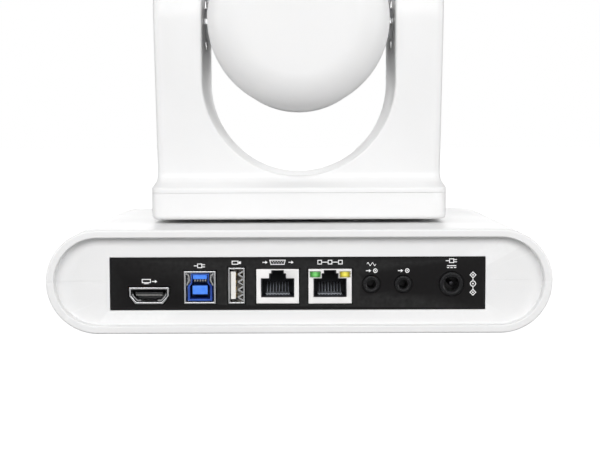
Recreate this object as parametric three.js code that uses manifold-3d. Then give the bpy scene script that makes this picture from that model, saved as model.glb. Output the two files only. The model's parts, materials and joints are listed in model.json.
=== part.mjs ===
// A pan-tilt-zoom conference camera: a wide base with its sockets behind, a turntable tray
// that carries a forked yoke, and a barrel-shaped head that tilts in the fork.
// Millimetres, +Z up. The lens looks along -Y and the sockets face +Y.
import * as THREE from 'three';
import { mergeVertices } from 'three/addons/utils/BufferGeometryUtils.js';
import Module from 'manifold-3d';

const wasm = await Module();
wasm.setup();

// ---- sides of round pieces ----
const roundLarge = 32;
const roundMedium = 20;
const roundSmall = 14;
const roundTiny = 10;
const arcSteps = 12;          // along a half circle of an outline
const cornerSteps = 3;        // along a rounded corner or edge

// ---- clearances ----
const seam = 0.3;             // between two pieces that meet
const runGap = 0.4;           // between a turning or sliding piece and its bore
const turntableGap = 1.6;     // between the base's top and the tray
const headSideGap = 2.5;      // between the head and the yoke's arms
const meshGap = 0.35;         // added to the gears' centre distance

// ---- base ----
const baseWidth = 190;
const baseDepth = 130;
const baseHeight = 39.2;
const baseWall = 2.5;
const rimWall = 3;            // the rim that stands round the rear face
const rearRecess = 4;
const frontRounding = 6;
const footStand = 1;          // how far the feet hold the base off the table
const footRadius = 7;
const footSeat = 1.2;         // depth of a foot's pocket
const footInset = [35, 14];   // from the base's side and end to a foot's centre
const screwRadius = 1.5;
const screwHeadRadius = 3.4;
const screwHeadHeight = 2;
const bossRadius = 4.5;
const windowSize = [46, 11, 2];
const statusRadius = 1.6;
const statusOffset = 31;
const tripodRadius = 6;
const tripodBore = 3.2;
const tripodHeight = 3.4;

// ---- rear panel and sockets, listed from +X to -X with the gap before each ----
const panelHeight = 19.8;
const panelThick = 1.6;
const panelShift = 0.6;       // the panel's centre, towards +X
const panelDrop = 1.1;        // the panel's centre, below the middle of the base
const panelEndMargin = 8.2;   // from the last socket to the panel's end
const floorMargin = 2.3;      // from the panel's lower edge to the sockets' floor
const jackRise = 7.25;        // from the sockets' floor to the round jacks' axis
const socketProud = 0.4;
const cutClear = 0.3;         // round each socket in the panel
const socketRow = [
  { name: 'video', gap: 7.1, width: 15.1 },
  { name: 'square', gap: 5.65, width: 12 },
  { name: 'flat', gap: 4.7, width: 6.25 },
  { name: 'serial', gap: 4.35, width: 16.1 },
  { name: 'network', gap: 3.6, width: 16.3 },
  { name: 'reference', gap: 4.3, width: 6.25 },
  { name: 'line', gap: 5.8, width: 6.25 },
  { name: 'power', gap: 10.65, width: 8.9 },
];
const videoSocket = { height: 6.3, side: 3.2, slant: 2.3, wall: 0.75, depth: 11, back: 1.5 };
const squareSocket = { height: 12.4, wall: 0.7, depth: 15, back: 1.5 };
const flatSocket = { height: 13.65, wall: 0.6, depth: 14, back: 1.5 };
const rjSocket = { height: 13.1, depth: 15.5, cavity: 12, lip: 2.35, mouth: 12.5, mouthHeight: 7.2 };
const rjLatch = { shoulder: 6.4, shoulderHeight: 1.9, notch: 4.7, notchHeight: 1.2 };
const rjLight = { width: 3.6, height: 1.8, depth: 1.5, offset: 5.6, rise: 10.1 };
const contactCount = 8;
const contactPitch = 1.15;
const contactWire = 0.5;
const contactBlock = 1;       // height of the block under the wires
const contactRise = 2.9;      // how far the wires climb above the mouth's floor
const contactSetback = 3;     // from the rear face to the block
const audioJack = { bore: 1.8, body: [8, 9.8, 12], boreDepth: 10 };
const powerJack = { bore: 2.95, pin: 1, body: [10, 11.4, 13], boreDepth: 10 };

// ---- inside the base ----
const boardThick = 1.6;
const boardSetback = 4;       // from the rear face to the board's edge
const plateThick = 1.5;
const plateLift = 0.8;        // from the lower shell's floor to the chassis plate
const gearHeadroom = 6;       // from the ceiling down to the ring gear
const gearThick = 5;
const gearModule = 1.25;
const ringTeeth = 48;
const pinionTeeth = 12;
const spindleRadius = 12;
const spindleBore = 7;
const spindleFlange = [22, 2];
const bearingRing = 5;
const bearingHeight = 6;
const bearingDrop = 3;        // from the ring gear down to the bearing
const motorRadius = 14;
const motorHeight = 10;
const motorShaft = 2;
const bracketThick = 1.5;
const motorAngle = -3 * Math.PI / 4;

// ---- turntable and yoke ----
const trayHeight = 11.1;
const trayWall = 2.5;
const trayCorner = 6;
const trayEdge = 1.2;
const openingRadius = 38.5;
const armThick = 18.1;
const yokeDepth = 58;
const yokeWall = 2.2;
const armFlare = Math.tan(THREE.MathUtils.degToRad(1.2));
const plinthRun = 6;          // the plinth's slope, measured along Y
const plinthSide = 2.15;      // the plinth's slope, measured along X
const plinthEdge = 1.4;
const plinthRise = 3.2;
const underOpening = 1.5;     // from the plinth's top to the opening's lowest point
const tiltRise = 62;          // from the opening's lowest point to the tilt axis
const coverDepth = 8;
const armOuterCorner = 9;
const armInnerCorner = 4;
const chassisThick = 1.5;
const chassisDepth = 18;

// ---- tilt drive ----
const tiltModule = 1;
const tiltTeeth = 32;
const tiltPinionTeeth = 12;
const tiltGearThick = 4;
const shaftRadius = 7;
const shaftBore = 4;
const tiltBearingRing = 3.3;
const tiltBearingWidth = 3;
const tiltMotorRadius = 11;
const tiltMotorWidth = 5.2;
const tiltMotorShaft = 1.5;

// ---- head ----
const headFront = 52;         // from the tilt axis to the front face
const headRear = 46;
const headWall = 2.2;
const headSeam = 14;          // from the tilt axis forward to the joint of the two shells
const headFrontRounding = 8;
const headRearRounding = 14;
const bezelRadius = 26;
const bezelWidth = 8;
const bezelDepth = 5.5;
const windowThick = 1.5;
const blockHalf = 19;
const blockBore = 16.5;
const blockFront = 43;
const blockRear = 26;
const blockBack = 3;
const frameThick = 1.5;
const frameDepth = 24;
const frameHeight = 12;
const frameSideGap = 4.5;     // from the lens block to the head frame's sides
const shaftFlange = [10, 2.2];
const zoomPlace = [-24, -14]; // the zoom group's ends along Y, at rest
const focusPlace = [6, 12];
const frontLensThick = 6;
const sensorBoard = [34, 1.6];

// ---- sizes that follow ----
const midZ = footStand + baseHeight / 2;
const topZ = footStand + baseHeight;
const floorZ = footStand + baseWall;
const ceilingZ = topZ - baseWall;
const endRadius = baseHeight / 2;
const rearY = baseDepth / 2 - rearRecess;
const panelWidth = socketRow.reduce((sum, socket) => sum + socket.gap + socket.width, panelEndMargin);
const panelCentreZ = midZ - panelDrop;
const socketFloorZ = panelCentreZ - panelHeight / 2 + floorMargin;
const boardTopZ = socketFloorZ - seam;
const boardBottomZ = boardTopZ - boardThick;
const plateZ = floorZ + plateLift;
const plateTopZ = plateZ + plateThick;
const ringTopZ = ceilingZ - gearHeadroom;
const ringBottomZ = ringTopZ - gearThick;
const bearingTopZ = ringBottomZ - bearingDrop;
const bearingBottomZ = bearingTopZ - bearingHeight;
const bearingOuter = spindleRadius + runGap + bearingRing;
const housingOuter = bearingOuter + seam + 3;
const boardFrontY = housingOuter + 1.5;
const boardRearY = rearY - boardSetback;
const boardHalf = panelWidth / 2 - 1;
const screwX = baseWidth / 2 - endRadius + 0.6;
const screwYs = [-baseDepth / 2 + 27, boardFrontY - bossRadius - 4];
const ringRadius = ringTeeth * gearModule / 2;
const panCentres = ringRadius + pinionTeeth * gearModule / 2 + meshGap;
const motorTopZ = ringBottomZ - bracketThick - 2 * seam - 1;
const motorPlace = [panCentres * Math.cos(motorAngle), panCentres * Math.sin(motorAngle), 0];
const bracketReach = motorRadius + 5;
const plateHalf = screwX - bossRadius - 1.5;
const trayBottomZ = topZ + turntableGap;
const trayTopZ = trayBottomZ + trayHeight;
const yokeHalf = openingRadius + armThick;
const trayHalfX = yokeHalf + plinthSide;
const trayHalfY = yokeDepth / 2 + plinthRun;
const plinthTopZ = trayTopZ + plinthEdge + plinthRise;
const openingBottomZ = plinthTopZ + underOpening;
const openingCentreZ = openingBottomZ + openingRadius;
const tiltZ = openingBottomZ + tiltRise;
const armTopZ = tiltZ + yokeDepth / 2;
const coverBackY = -yokeDepth / 2 + coverDepth;
const tiltGearX = openingRadius + yokeWall + 1.5;
const tiltRadius = tiltTeeth * tiltModule / 2;
const tiltCentres = tiltRadius + tiltPinionTeeth * tiltModule / 2 + meshGap;
const tiltMotorX = tiltGearX + tiltGearThick + seam + 0.1;
const tiltBearingOuter = shaftRadius + runGap + tiltBearingRing;
const headRadius = openingRadius - headSideGap;
const frameX = blockHalf + frameSideGap;

// ---- turning a geometry into a solid and back ----
function solidOf(geometry) {
  const bare = geometry.clone();
  bare.deleteAttribute('normal');
  bare.deleteAttribute('uv');
  const welded = mergeVertices(bare, 1e-4);
  const corners = welded.index.array;
  const kept = [];
  for (let i = 0; i < corners.length; i += 3) {
    const [a, b, c] = [corners[i], corners[i + 1], corners[i + 2]];
    if (a !== b && b !== c && c !== a) kept.push(a, b, c);
  }
  const points = new Float32Array(welded.attributes.position.array);
  const triVerts = new Uint32Array(volumeOf(points, kept) < 0 ? kept.reverse() : kept);
  return new wasm.Manifold(new wasm.Mesh({ numProp: 3, vertProperties: points, triVerts }));
}

function volumeOf(points, corners) {
  const [a, b, c] = [new THREE.Vector3(), new THREE.Vector3(), new THREE.Vector3()];
  let sum = 0;
  for (let i = 0; i < corners.length; i += 3) {
    a.fromArray(points, 3 * corners[i]);
    b.fromArray(points, 3 * corners[i + 1]);
    c.fromArray(points, 3 * corners[i + 2]);
    sum += a.dot(b.cross(c)) / 6;
  }
  return sum;
}

function geometryOf(solid) {
  const mesh = solid.getMesh();
  const geometry = new THREE.BufferGeometry();
  geometry.setAttribute('position', new THREE.BufferAttribute(mesh.vertProperties, 3));
  geometry.setIndex(new THREE.BufferAttribute(mesh.triVerts, 1));
  geometry.computeVertexNormals();
  return geometry;
}

// ---- plain solids: prisms, rods, blocks and turned pieces along an axis ----
const unit = { x: [1, 0, 0], y: [0, 1, 0], z: [0, 0, 1], back: [0, -1, 0] };
const basis = (u, v, w) => new THREE.Matrix4().makeBasis(
  new THREE.Vector3(...unit[u]), new THREE.Vector3(...unit[v]), new THREE.Vector3(...unit[w]));
const prismBasis = { x: basis('y', 'z', 'x'), y: basis('x', 'z', 'back'), z: basis('x', 'y', 'z') };

// The shape is drawn in XY for axis z, in XZ for axis y, and in YZ for axis x.
function prism(axis, shape, from, to, curveSegments = arcSteps, edge = 0) {
  const depth = to - from - 2 * edge;
  const bevel = { bevelEnabled: edge > 0, bevelThickness: edge, bevelSize: edge, bevelOffset: -edge };
  const geometry = new THREE.ExtrudeGeometry(shape, { depth, curveSegments, bevelSegments: cornerSteps, ...bevel });
  geometry.applyMatrix4(prismBasis[axis]);
  const start = axis === 'y' ? to - edge : from + edge;
  geometry.translate(axis === 'x' ? start : 0, axis === 'y' ? start : 0, axis === 'z' ? start : 0);
  return solidOf(geometry);
}

function alongAxis(geometry, axis) {
  if (axis === 'x') geometry.rotateZ(-Math.PI / 2);
  if (axis === 'z') geometry.rotateX(Math.PI / 2);
  return geometry;
}

function rod(axis, radius, from, to, centre = [0, 0, 0], segments = roundMedium) {
  const geometry = alongAxis(new THREE.CylinderGeometry(radius, radius, to - from, segments), axis);
  const middle = (from + to) / 2;
  const place = { x: [middle, 0, 0], y: [0, middle, 0], z: [0, 0, middle] }[axis];
  geometry.translate(...place.map((value, i) => value + centre[i]));
  return solidOf(geometry);
}

function block([x0, x1], [y0, y1], [z0, z1]) {
  const geometry = new THREE.BoxGeometry(x1 - x0, y1 - y0, z1 - z0);
  geometry.translate((x0 + x1) / 2, (y0 + y1) / 2, (z0 + z1) / 2);
  return solidOf(geometry);
}

// A profile of [radius, place along the axis] turned round that axis.
function turned(axis, profile, segments = roundLarge) {
  const points = profile.map(([radius, along]) => new THREE.Vector2(radius, along));
  return solidOf(alongAxis(new THREE.LatheGeometry(points, segments), axis));
}

function ring(axis, inner, outer, from, to, segments = roundMedium) {
  return turned(axis, [[inner, from], [outer, from], [outer, to], [inner, to], [inner, from]], segments);
}

// Points of a quarter turn about [radius, along], from one angle to another.
function arcPoints([radius, along], size, fromAngle, toAngle, steps = cornerSteps) {
  return Array.from({ length: steps + 1 }, (_, i) => {
    const angle = fromAngle + (toAngle - fromAngle) * i / steps;
    return [radius + size * Math.cos(angle), along + size * Math.sin(angle)];
  });
}

// ---- outlines ----
function outline(points) {
  return new THREE.Shape(points.map(([u, v]) => new THREE.Vector2(u, v)));
}

function stadium(halfWidth, halfHeight, centreV = 0) {
  const reach = halfWidth - halfHeight;
  const shape = new THREE.Shape();
  shape.absarc(reach, centreV, halfHeight, -Math.PI / 2, Math.PI / 2);
  shape.absarc(-reach, centreV, halfHeight, Math.PI / 2, 3 * Math.PI / 2);
  return shape;
}

function roundedRectangle(halfU, halfV, radius) {
  const shape = new THREE.Shape();
  shape.absarc(halfU - radius, halfV - radius, radius, 0, Math.PI / 2);
  shape.absarc(radius - halfU, halfV - radius, radius, Math.PI / 2, Math.PI);
  shape.absarc(radius - halfU, radius - halfV, radius, Math.PI, 3 * Math.PI / 2);
  shape.absarc(halfU - radius, radius - halfV, radius, 3 * Math.PI / 2, 2 * Math.PI);
  return shape;
}

// Four points to a tooth: root, tip, tip, root.
function gearOutline(teeth, module) {
  const pitch = 2 * Math.PI / teeth;
  const root = module * (teeth / 2 - 1.15);
  const tip = module * (teeth / 2 + 0.8);
  const corners = [[root, -0.29], [tip, -0.12], [tip, 0.12], [root, 0.29]];
  const points = [];
  for (let tooth = 0; tooth < teeth; tooth += 1) {
    for (const [radius, share] of corners) {
      const angle = (tooth + share) * pitch;
      points.push([radius * Math.cos(angle), radius * Math.sin(angle)]);
    }
  }
  return outline(points);
}

// ---- finishes ----
const finish = (color, roughness, metalness) =>
  new THREE.MeshStandardMaterial({ color, roughness, metalness });
const whitePlastic = finish(0xf0f1f2, 0.45, 0);
const blackPlastic = finish(0x222122, 0.35, 0);
const bluePlastic = finish(0x1b5fd6, 0.4, 0);
const palePlastic = finish(0xe4e0d4, 0.5, 0);
const gearPlastic = finish(0xd8d4c4, 0.5, 0);
const rubber = finish(0x2a2a2a, 0.8, 0);
const platedSteel = finish(0xc9cbcd, 0.25, 1);
const sheetSteel = finish(0xa9adb0, 0.4, 1);
const brass = finish(0xc8a24a, 0.3, 1);
const boardGreen = finish(0x14532d, 0.5, 0);
const clearGlass = finish(0x10151c, 0.05, 0);
const coatedGlass = finish(0x2a2f55, 0.05, 0);
const greenLight = finish(0x4fd04a, 0.3, 0);
const amberLight = finish(0xf0b020, 0.3, 0);
const blueLight = finish(0x3aa0ff, 0.3, 0);

// ---- the scene graph ----
const camera = new THREE.Group();
const base = new THREE.Group();
const turntable = new THREE.Group();
const head = new THREE.Group();
head.position.z = tiltZ;
camera.add(base, turntable);
turntable.add(head);

function put(group, name, solid, material, place = [0, 0, 0]) {
  const mesh = new THREE.Mesh(geometryOf(solid), material);
  mesh.name = name;
  mesh.position.set(...place);
  group.add(mesh);
  return mesh;
}

// ---- sockets: each is drawn with its floor's centre on the rear face at the origin ----
function socketCentres() {
  const centres = {};
  let edge = panelShift + panelWidth / 2;
  for (const socket of socketRow) {
    edge -= socket.gap;
    centres[socket.name] = edge - socket.width / 2;
    edge -= socket.width;
  }
  return centres;
}
const centreX = socketCentres();
const widthOf = Object.fromEntries(socketRow.map((socket) => [socket.name, socket.width]));
const socketPlace = (name) => [centreX[name], rearY, socketFloorZ];

// The D outline of the video socket, grown or shrunk by an offset.
function videoOutline(grow) {
  const half = widthOf.video / 2 + grow;
  const { height, side, slant } = videoSocket;
  const foot = half - slant - 0.4 * grow;
  return outline([[-half, height + grow], [-half, height - side], [-foot, -grow],
    [foot, -grow], [half, height - side], [half, height + grow]]);
}

function addVideoSocket() {
  const { wall, depth, back, height } = videoSocket;
  const cavity = prism('y', videoOutline(-wall), -depth + back, socketProud + 1);
  const shell = prism('y', videoOutline(0), -depth, socketProud).subtract(cavity);
  put(base, 'video_socket_shell', shell, platedSteel, socketPlace('video'));
  const rear = prism('y', videoOutline(-wall - seam), -depth + back + seam, -depth + back + 2.5);
  const blade = block([-5.1, 5.1], [-depth + back + 1, -0.8], [height / 2, height / 2 + 1.1]);
  put(base, 'video_socket_tongue', rear.add(blade), blackPlastic, socketPlace('video'));
}

function addSquareSocket() {
  const { height, wall, depth, back } = squareSocket;
  const half = widthOf.square / 2;
  const inner = half - wall;
  const cavity = block([-inner, inner], [-depth + back, socketProud + 1], [wall, height - wall]);
  const shell = block([-half, half], [-depth, socketProud], [0, height]).subtract(cavity);
  put(base, 'square_data_socket_shell', shell, platedSteel, socketPlace('square'));
  put(base, 'square_data_socket_insert', squareInsert(), bluePlastic, socketPlace('square'));
}

// A blue block with a narrow crown, a mouth, a strip under the crown and a tongue.
function squareInsert() {
  const { height, wall, depth, back } = squareSocket;
  const low = wall + seam;
  const high = height - wall - seam;
  const waist = high - 4.6;
  const rise = high - 3.4;
  const shape = outline([[-4.6, low], [4.6, low], [4.6, waist], [3.4, rise], [3.4, high],
    [-3.4, high], [-3.4, rise], [-4.6, waist]]);
  const mouth = outline([[-3.8, low + 0.8], [3.8, low + 0.8], [3.8, waist - 0.3], [2.9, rise - 0.3],
    [2.9, high - 0.5], [-2.9, high - 0.5], [-2.9, rise - 0.3], [-3.8, waist - 0.3]]);
  const body = prism('y', shape, -depth + back + seam, -0.4);
  const hollow = prism('y', mouth, -depth + 6, 1);
  const tongue = block([-2.7, 2.7], [-depth + 5, -1], [low + 2.6, low + 5.6]);
  const strip = block([-2.5, 2.5], [-depth + 5, -0.8], [high - 2, high - 0.4]);
  return body.subtract(hollow).add(tongue).add(strip);
}

function addFlatSocket() {
  const { height, wall, depth, back } = flatSocket;
  const half = widthOf.flat / 2;
  const inner = half - wall;
  const cavity = block([-inner, inner], [-depth + back, socketProud + 1], [wall, height - wall]);
  const shell = block([-half, half], [-depth, socketProud], [0, height]).subtract(cavity);
  put(base, 'flat_data_socket_shell', shell, platedSteel, socketPlace('flat'));
  const gap = wall + seam;
  const rear = block([-half + gap, half - gap], [-depth + back + seam, -depth + back + 3],
    [gap, height - gap]);
  const blade = block([half - gap - 1.9, half - gap], [-depth + back + 1, -1], [1.6, height - 1.6]);
  put(base, 'flat_data_socket_tongue', rear.add(blade), palePlastic, socketPlace('flat'));
}

// The stepped mouth of a modular jack, its latch notch on top.
function rjMouth() {
  const { lip, mouth, mouthHeight } = rjSocket;
  const { shoulder, shoulderHeight, notch, notchHeight } = rjLatch;
  const levels = [lip, lip + mouthHeight, lip + mouthHeight + shoulderHeight,
    lip + mouthHeight + shoulderHeight + notchHeight];
  const halves = [mouth / 2, shoulder / 2, notch / 2];
  return outline([[-halves[0], levels[0]], [halves[0], levels[0]], [halves[0], levels[1]],
    [halves[1], levels[1]], [halves[1], levels[2]], [halves[2], levels[2]], [halves[2], levels[3]],
    [-halves[2], levels[3]], [-halves[2], levels[2]], [-halves[1], levels[2]],
    [-halves[1], levels[1]], [-halves[0], levels[1]]]);
}

// Sloping contact wires on a low block, as a comb.
function rjContacts() {
  const { lip, cavity } = rjSocket;
  const half = contactCount * contactPitch / 2;
  const foot = lip + contactBlock;
  let comb = block([-half, half], [-cavity + seam, -contactSetback], [lip + seam, foot]);
  const wire = outline([[-contactSetback + 0.4, foot - 0.3], [-contactSetback + 0.4, foot + 0.3],
    [-cavity + 1.5, lip + contactRise], [-cavity + 0.8, lip + contactRise], [-cavity + 0.8, foot - 0.3]]);
  for (let i = 0; i < contactCount; i += 1) {
    const x = (i - (contactCount - 1) / 2) * contactPitch;
    comb = comb.add(prism('x', wire, x - contactWire / 2, x + contactWire / 2));
  }
  return comb;
}

function rjShell(width, withLights) {
  const { height, depth, cavity } = rjSocket;
  let shell = block([-width / 2, width / 2], [-depth, socketProud], [0, height]);
  shell = shell.subtract(prism('y', rjMouth(), -cavity, socketProud + 1));
  if (!withLights) return shell;
  for (const side of [-1, 1]) shell = shell.subtract(rjLightBlock(side, seam, 1));
  return shell;
}

function rjLightBlock(side, grow, front) {
  const { width, height, depth, offset, rise } = rjLight;
  const x = side * offset;
  return block([x - width / 2 - grow, x + width / 2 + grow], [socketProud - depth - grow, front],
    [rise - grow, rise + height + grow]);
}

function addModularJacks() {
  for (const name of ['serial', 'network']) {
    const shell = rjShell(widthOf[name], name === 'network');
    put(base, `${name}_jack_shell`, shell, platedSteel, socketPlace(name));
    put(base, `${name}_jack_contacts`, rjContacts(), brass, socketPlace(name));
  }
  const lit = socketProud + 0.1;
  put(base, 'network_light_green', rjLightBlock(1, 0, lit), greenLight, socketPlace('network'));
  put(base, 'network_light_amber', rjLightBlock(-1, 0, lit), amberLight, socketPlace('network'));
}

// A round nose through the panel on a block that stands on the board.
function roundJack(radius, { bore, body, boreDepth }) {
  const axis = [0, 0, jackRise];
  const [width, height, depth] = body;
  const nose = rod('y', radius, -panelThick - 2, socketProud, axis, roundMedium);
  const box = block([-width / 2, width / 2], [-panelThick - 1 - depth, -panelThick - seam], [0, height]);
  return nose.add(box).subtract(rod('y', bore, -boreDepth, socketProud + 1, axis, roundMedium));
}

function addRoundJacks() {
  const audio = roundJack(widthOf.line / 2, audioJack);
  put(base, 'reference_audio_jack', audio, blackPlastic, socketPlace('reference'));
  put(base, 'line_in_jack', audio, blackPlastic, socketPlace('line'));
  const power = roundJack(widthOf.power / 2, powerJack);
  put(base, 'dc_power_jack', power, blackPlastic, socketPlace('power'));
  const pin = rod('y', powerJack.pin, -powerJack.boreDepth + seam, -1.2, [0, 0, jackRise], roundSmall);
  put(base, 'dc_centre_pin', pin, platedSteel, socketPlace('power'));
}

function panelCutouts() {
  const heights = { square: squareSocket.height, flat: flatSocket.height,
    serial: rjSocket.height, network: rjSocket.height };
  const holes = Object.entries(heights).map(([name, height]) => {
    const half = widthOf[name] / 2 + cutClear;
    const x = centreX[name];
    return block([x - half, x + half], [rearY - 3, rearY + 1],
      [socketFloorZ - cutClear, socketFloorZ + height + cutClear]);
  });
  for (const name of ['reference', 'line', 'power']) {
    const centre = [centreX[name], 0, socketFloorZ + jackRise];
    holes.push(rod('y', widthOf[name] / 2 + cutClear, rearY - 3, rearY + 1, centre, roundMedium));
  }
  return holes;
}

function addPanel() {
  const half = panelWidth / 2;
  let panel = block([panelShift - half, panelShift + half], [rearY - panelThick, rearY],
    [panelCentreZ - panelHeight / 2, panelCentreZ + panelHeight / 2]);
  for (const hole of panelCutouts()) panel = panel.subtract(hole);
  const shape = videoOutline(cutClear);
  const geometry = geometryOf(prism('y', shape, -3, 1));
  geometry.translate(centreX.video, rearY, socketFloorZ);
  put(base, 'rear_io_panel', panel.subtract(solidOf(geometry)), blackPlastic);
}

// ---- base shells ----
function screwPlaces() {
  return screwYs.flatMap((y) => [[-screwX, y], [screwX, y]]);
}

function footPlaces() {
  const x = baseWidth / 2 - footInset[0];
  const y = baseDepth / 2 - footInset[1];
  return [[-x, -y], [x, -y], [-x, y], [x, y]];
}

function windowSolid(grow) {
  const [width, height, thick] = windowSize;
  const shape = stadium(width / 2 + grow, height / 2 + grow, midZ);
  return prism('y', shape, -baseDepth / 2 - grow, -baseDepth / 2 + thick + grow, 10);
}

function statusSolid(grow) {
  const front = -baseDepth / 2;
  return rod('y', statusRadius + grow, front - grow, front + baseWall + grow, [statusOffset, 0, midZ], roundTiny);
}

// The whole hollow base: a stadium-section body, its front edge rounded and its rear set in.
function baseBody() {
  const half = baseWidth / 2;
  const end = baseDepth / 2;
  const outer = stadium(half, endRadius, midZ);
  let body = prism('y', outer, -end, end + frontRounding, arcSteps, frontRounding);
  body = body.intersect(block([-half - 1, half + 1], [-end - 1, end], [0, topZ + 1]));
  const hollow = stadium(half - baseWall, endRadius - baseWall, midZ);
  body = body.subtract(prism('y', hollow, -end + baseWall, rearY - baseWall));
  const recess = stadium(half - rimWall, endRadius - rimWall, midZ);
  return body.subtract(prism('y', recess, rearY, end + 1));
}

// What both shells are cut for: panel, front window and status light.
function cutBaseFaces(body) {
  const half = panelWidth / 2 + seam;
  const opening = block([panelShift - half, panelShift + half], [rearY - baseWall - 1, rearY + 1],
    [panelCentreZ - panelHeight / 2 - seam, panelCentreZ + panelHeight / 2 + seam]);
  const wayIn = block([-windowSize[0] / 2 + 3, windowSize[0] / 2 - 3],
    [-baseDepth / 2 - 1, -baseDepth / 2 + baseWall + 1], [midZ - 2.5, midZ + 2.5]);
  return body.subtract(opening).subtract(windowSolid(seam)).subtract(wayIn).subtract(statusSolid(seam));
}

function addBaseShells() {
  const body = cutBaseFaces(baseBody());
  const wide = [-baseWidth, baseWidth];
  const deep = [-baseDepth, baseDepth];
  let upper = body.intersect(block(wide, deep, [midZ + seam / 2, topZ + 1]));
  let lower = body.intersect(block(wide, deep, [0, midZ - seam / 2]));
  for (const [x, y] of screwPlaces()) {
    upper = upper.add(rod('z', bossRadius, midZ + seam / 2, ceilingZ + 0.5, [x, y, 0], roundSmall));
    upper = upper.subtract(rod('z', screwRadius + seam, 0, ceilingZ - 4, [x, y, 0], roundTiny));
    lower = lower.add(rod('z', bossRadius, floorZ - 0.5, midZ - seam / 2, [x, y, 0], roundSmall));
    lower = lower.subtract(rod('z', screwRadius + seam, 0, midZ, [x, y, 0], roundTiny));
    const headRoom = footStand + 0.8 + screwHeadHeight + seam;
    lower = lower.subtract(rod('z', screwHeadRadius + seam, 0, headRoom, [x, y, 0], roundSmall));
  }
  for (const [x, y] of footPlaces()) {
    lower = lower.subtract(rod('z', footRadius + seam, 0, footStand + footSeat, [x, y, 0], roundMedium));
  }
  lower = lower.subtract(rod('z', tripodRadius + seam, 0, floorZ + 1));
  const shaftHole = rod('z', spindleRadius + 2, ceilingZ - 1, topZ + 1, [0, 0, 0], roundLarge);
  put(base, 'base_top_shell', upper.subtract(shaftHole), whitePlastic);
  put(base, 'base_bottom_shell', lower, whitePlastic);
}

function addBaseFittings() {
  put(base, 'front_window', windowSolid(0), clearGlass);
  put(base, 'status_light', statusSolid(0), blueLight);
  const foot = rod('z', footRadius, 0, footStand + footSeat - seam);
  footPlaces().forEach(([x, y], i) => put(base, `foot_${i + 1}`, foot, rubber, [x, y, 0]));
  const headBottom = footStand + 0.8;
  const screw = rod('z', screwHeadRadius, headBottom, headBottom + screwHeadHeight, [0, 0, 0], roundSmall)
    .add(rod('z', screwRadius, headBottom + 1, ceilingZ - 6, [0, 0, 0], roundTiny));
  screwPlaces().forEach(([x, y], i) => put(base, `base_screw_${i + 1}`, screw, sheetSteel, [x, y, 0]));
  const insert = ring('z', tripodBore, tripodRadius, footStand + seam, footStand + tripodHeight);
  put(base, 'tripod_insert', insert, brass);
}

// ---- inside the base ----
function addMainBoard() {
  const board = block([panelShift - boardHalf, panelShift + boardHalf], [boardFrontY, boardRearY],
    [boardBottomZ, boardTopZ]);
  put(base, 'main_board', board, boardGreen);
}

function addChassisPlate() {
  const frontEdge = motorPlace[1] - bracketReach - 2;
  const rearEdge = rearY - baseWall - 4;
  const postX = Math.min(plateHalf, boardHalf) - 4;
  let plate = block([-plateHalf, plateHalf], [frontEdge, rearEdge], [plateZ, plateTopZ]);
  plate = plate.add(ring('z', bearingOuter + seam, housingOuter, plateTopZ - 0.5, bearingTopZ));
  for (const x of [-postX, postX]) {
    for (const y of [boardFrontY + 4, rearEdge - 4]) {
      plate = plate.add(rod('z', 2.5, plateTopZ - 0.5, boardBottomZ - seam, [x, y, 0], roundTiny));
    }
  }
  plate = plate.subtract(rod('z', tripodRadius + 1, 0, plateTopZ + 1));
  put(base, 'base_chassis_plate', plate, sheetSteel);
}

function addPanDrive() {
  const bottom = motorTopZ - motorHeight;
  const motor = rod('z', motorRadius, bottom, motorTopZ)
    .subtract(rod('z', motorShaft + runGap, bottom + 2, motorTopZ + 1, [0, 0, 0], roundSmall));
  put(base, 'pan_motor', motor, sheetSteel, motorPlace);
  put(base, 'pan_motor_bracket', motorBracket(), sheetSteel, motorPlace);
  const bearing = ring('z', spindleRadius + runGap, bearingOuter, bearingBottomZ, bearingTopZ);
  put(base, 'pan_bearing', bearing, platedSteel);
  const pinion = prism('z', gearOutline(pinionTeeth, gearModule), ringBottomZ, ringTopZ)
    .add(rod('z', motorShaft, bottom + 3, ringBottomZ + 1, [0, 0, 0], roundSmall));
  const mesh = put(base, 'pan_pinion', pinion, gearPlastic, motorPlace);
  mesh.rotation.z = motorAngle + Math.PI + Math.PI / pinionTeeth;
}

// A shelf over the motor with a leg down to the chassis plate.
function motorBracket() {
  const half = motorRadius + 1;
  const low = motorTopZ + seam;
  const shelf = block([-half, half], [-bracketReach, motorRadius / 2], [low, low + bracketThick]);
  const leg = block([-half, half], [-bracketReach, bracketThick - bracketReach],
    [plateTopZ + seam, low + bracketThick]);
  return shelf.add(leg).subtract(rod('z', motorShaft + 2, low - 1, low + 5, [0, 0, 0], roundSmall));
}

// ---- turntable ----
function addTray() {
  const outer = roundedRectangle(trayHalfX, trayHalfY, trayCorner);
  const high = trayTopZ - seam / 2;
  let tray = prism('z', outer, trayBottomZ, high + trayEdge, cornerSteps, trayEdge);
  tray = tray.intersect(block([-200, 200], [-200, 200], [0, high]));
  const hollow = roundedRectangle(trayHalfX - trayWall, trayHalfY - trayWall, trayCorner - trayWall);
  tray = tray.subtract(prism('z', hollow, trayBottomZ + trayWall, high + 1, cornerSteps));
  tray = tray.subtract(rod('z', spindleRadius + seam, trayBottomZ - 1, high));
  put(turntable, 'turntable_tray', tray, whitePlastic);
}

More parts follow.
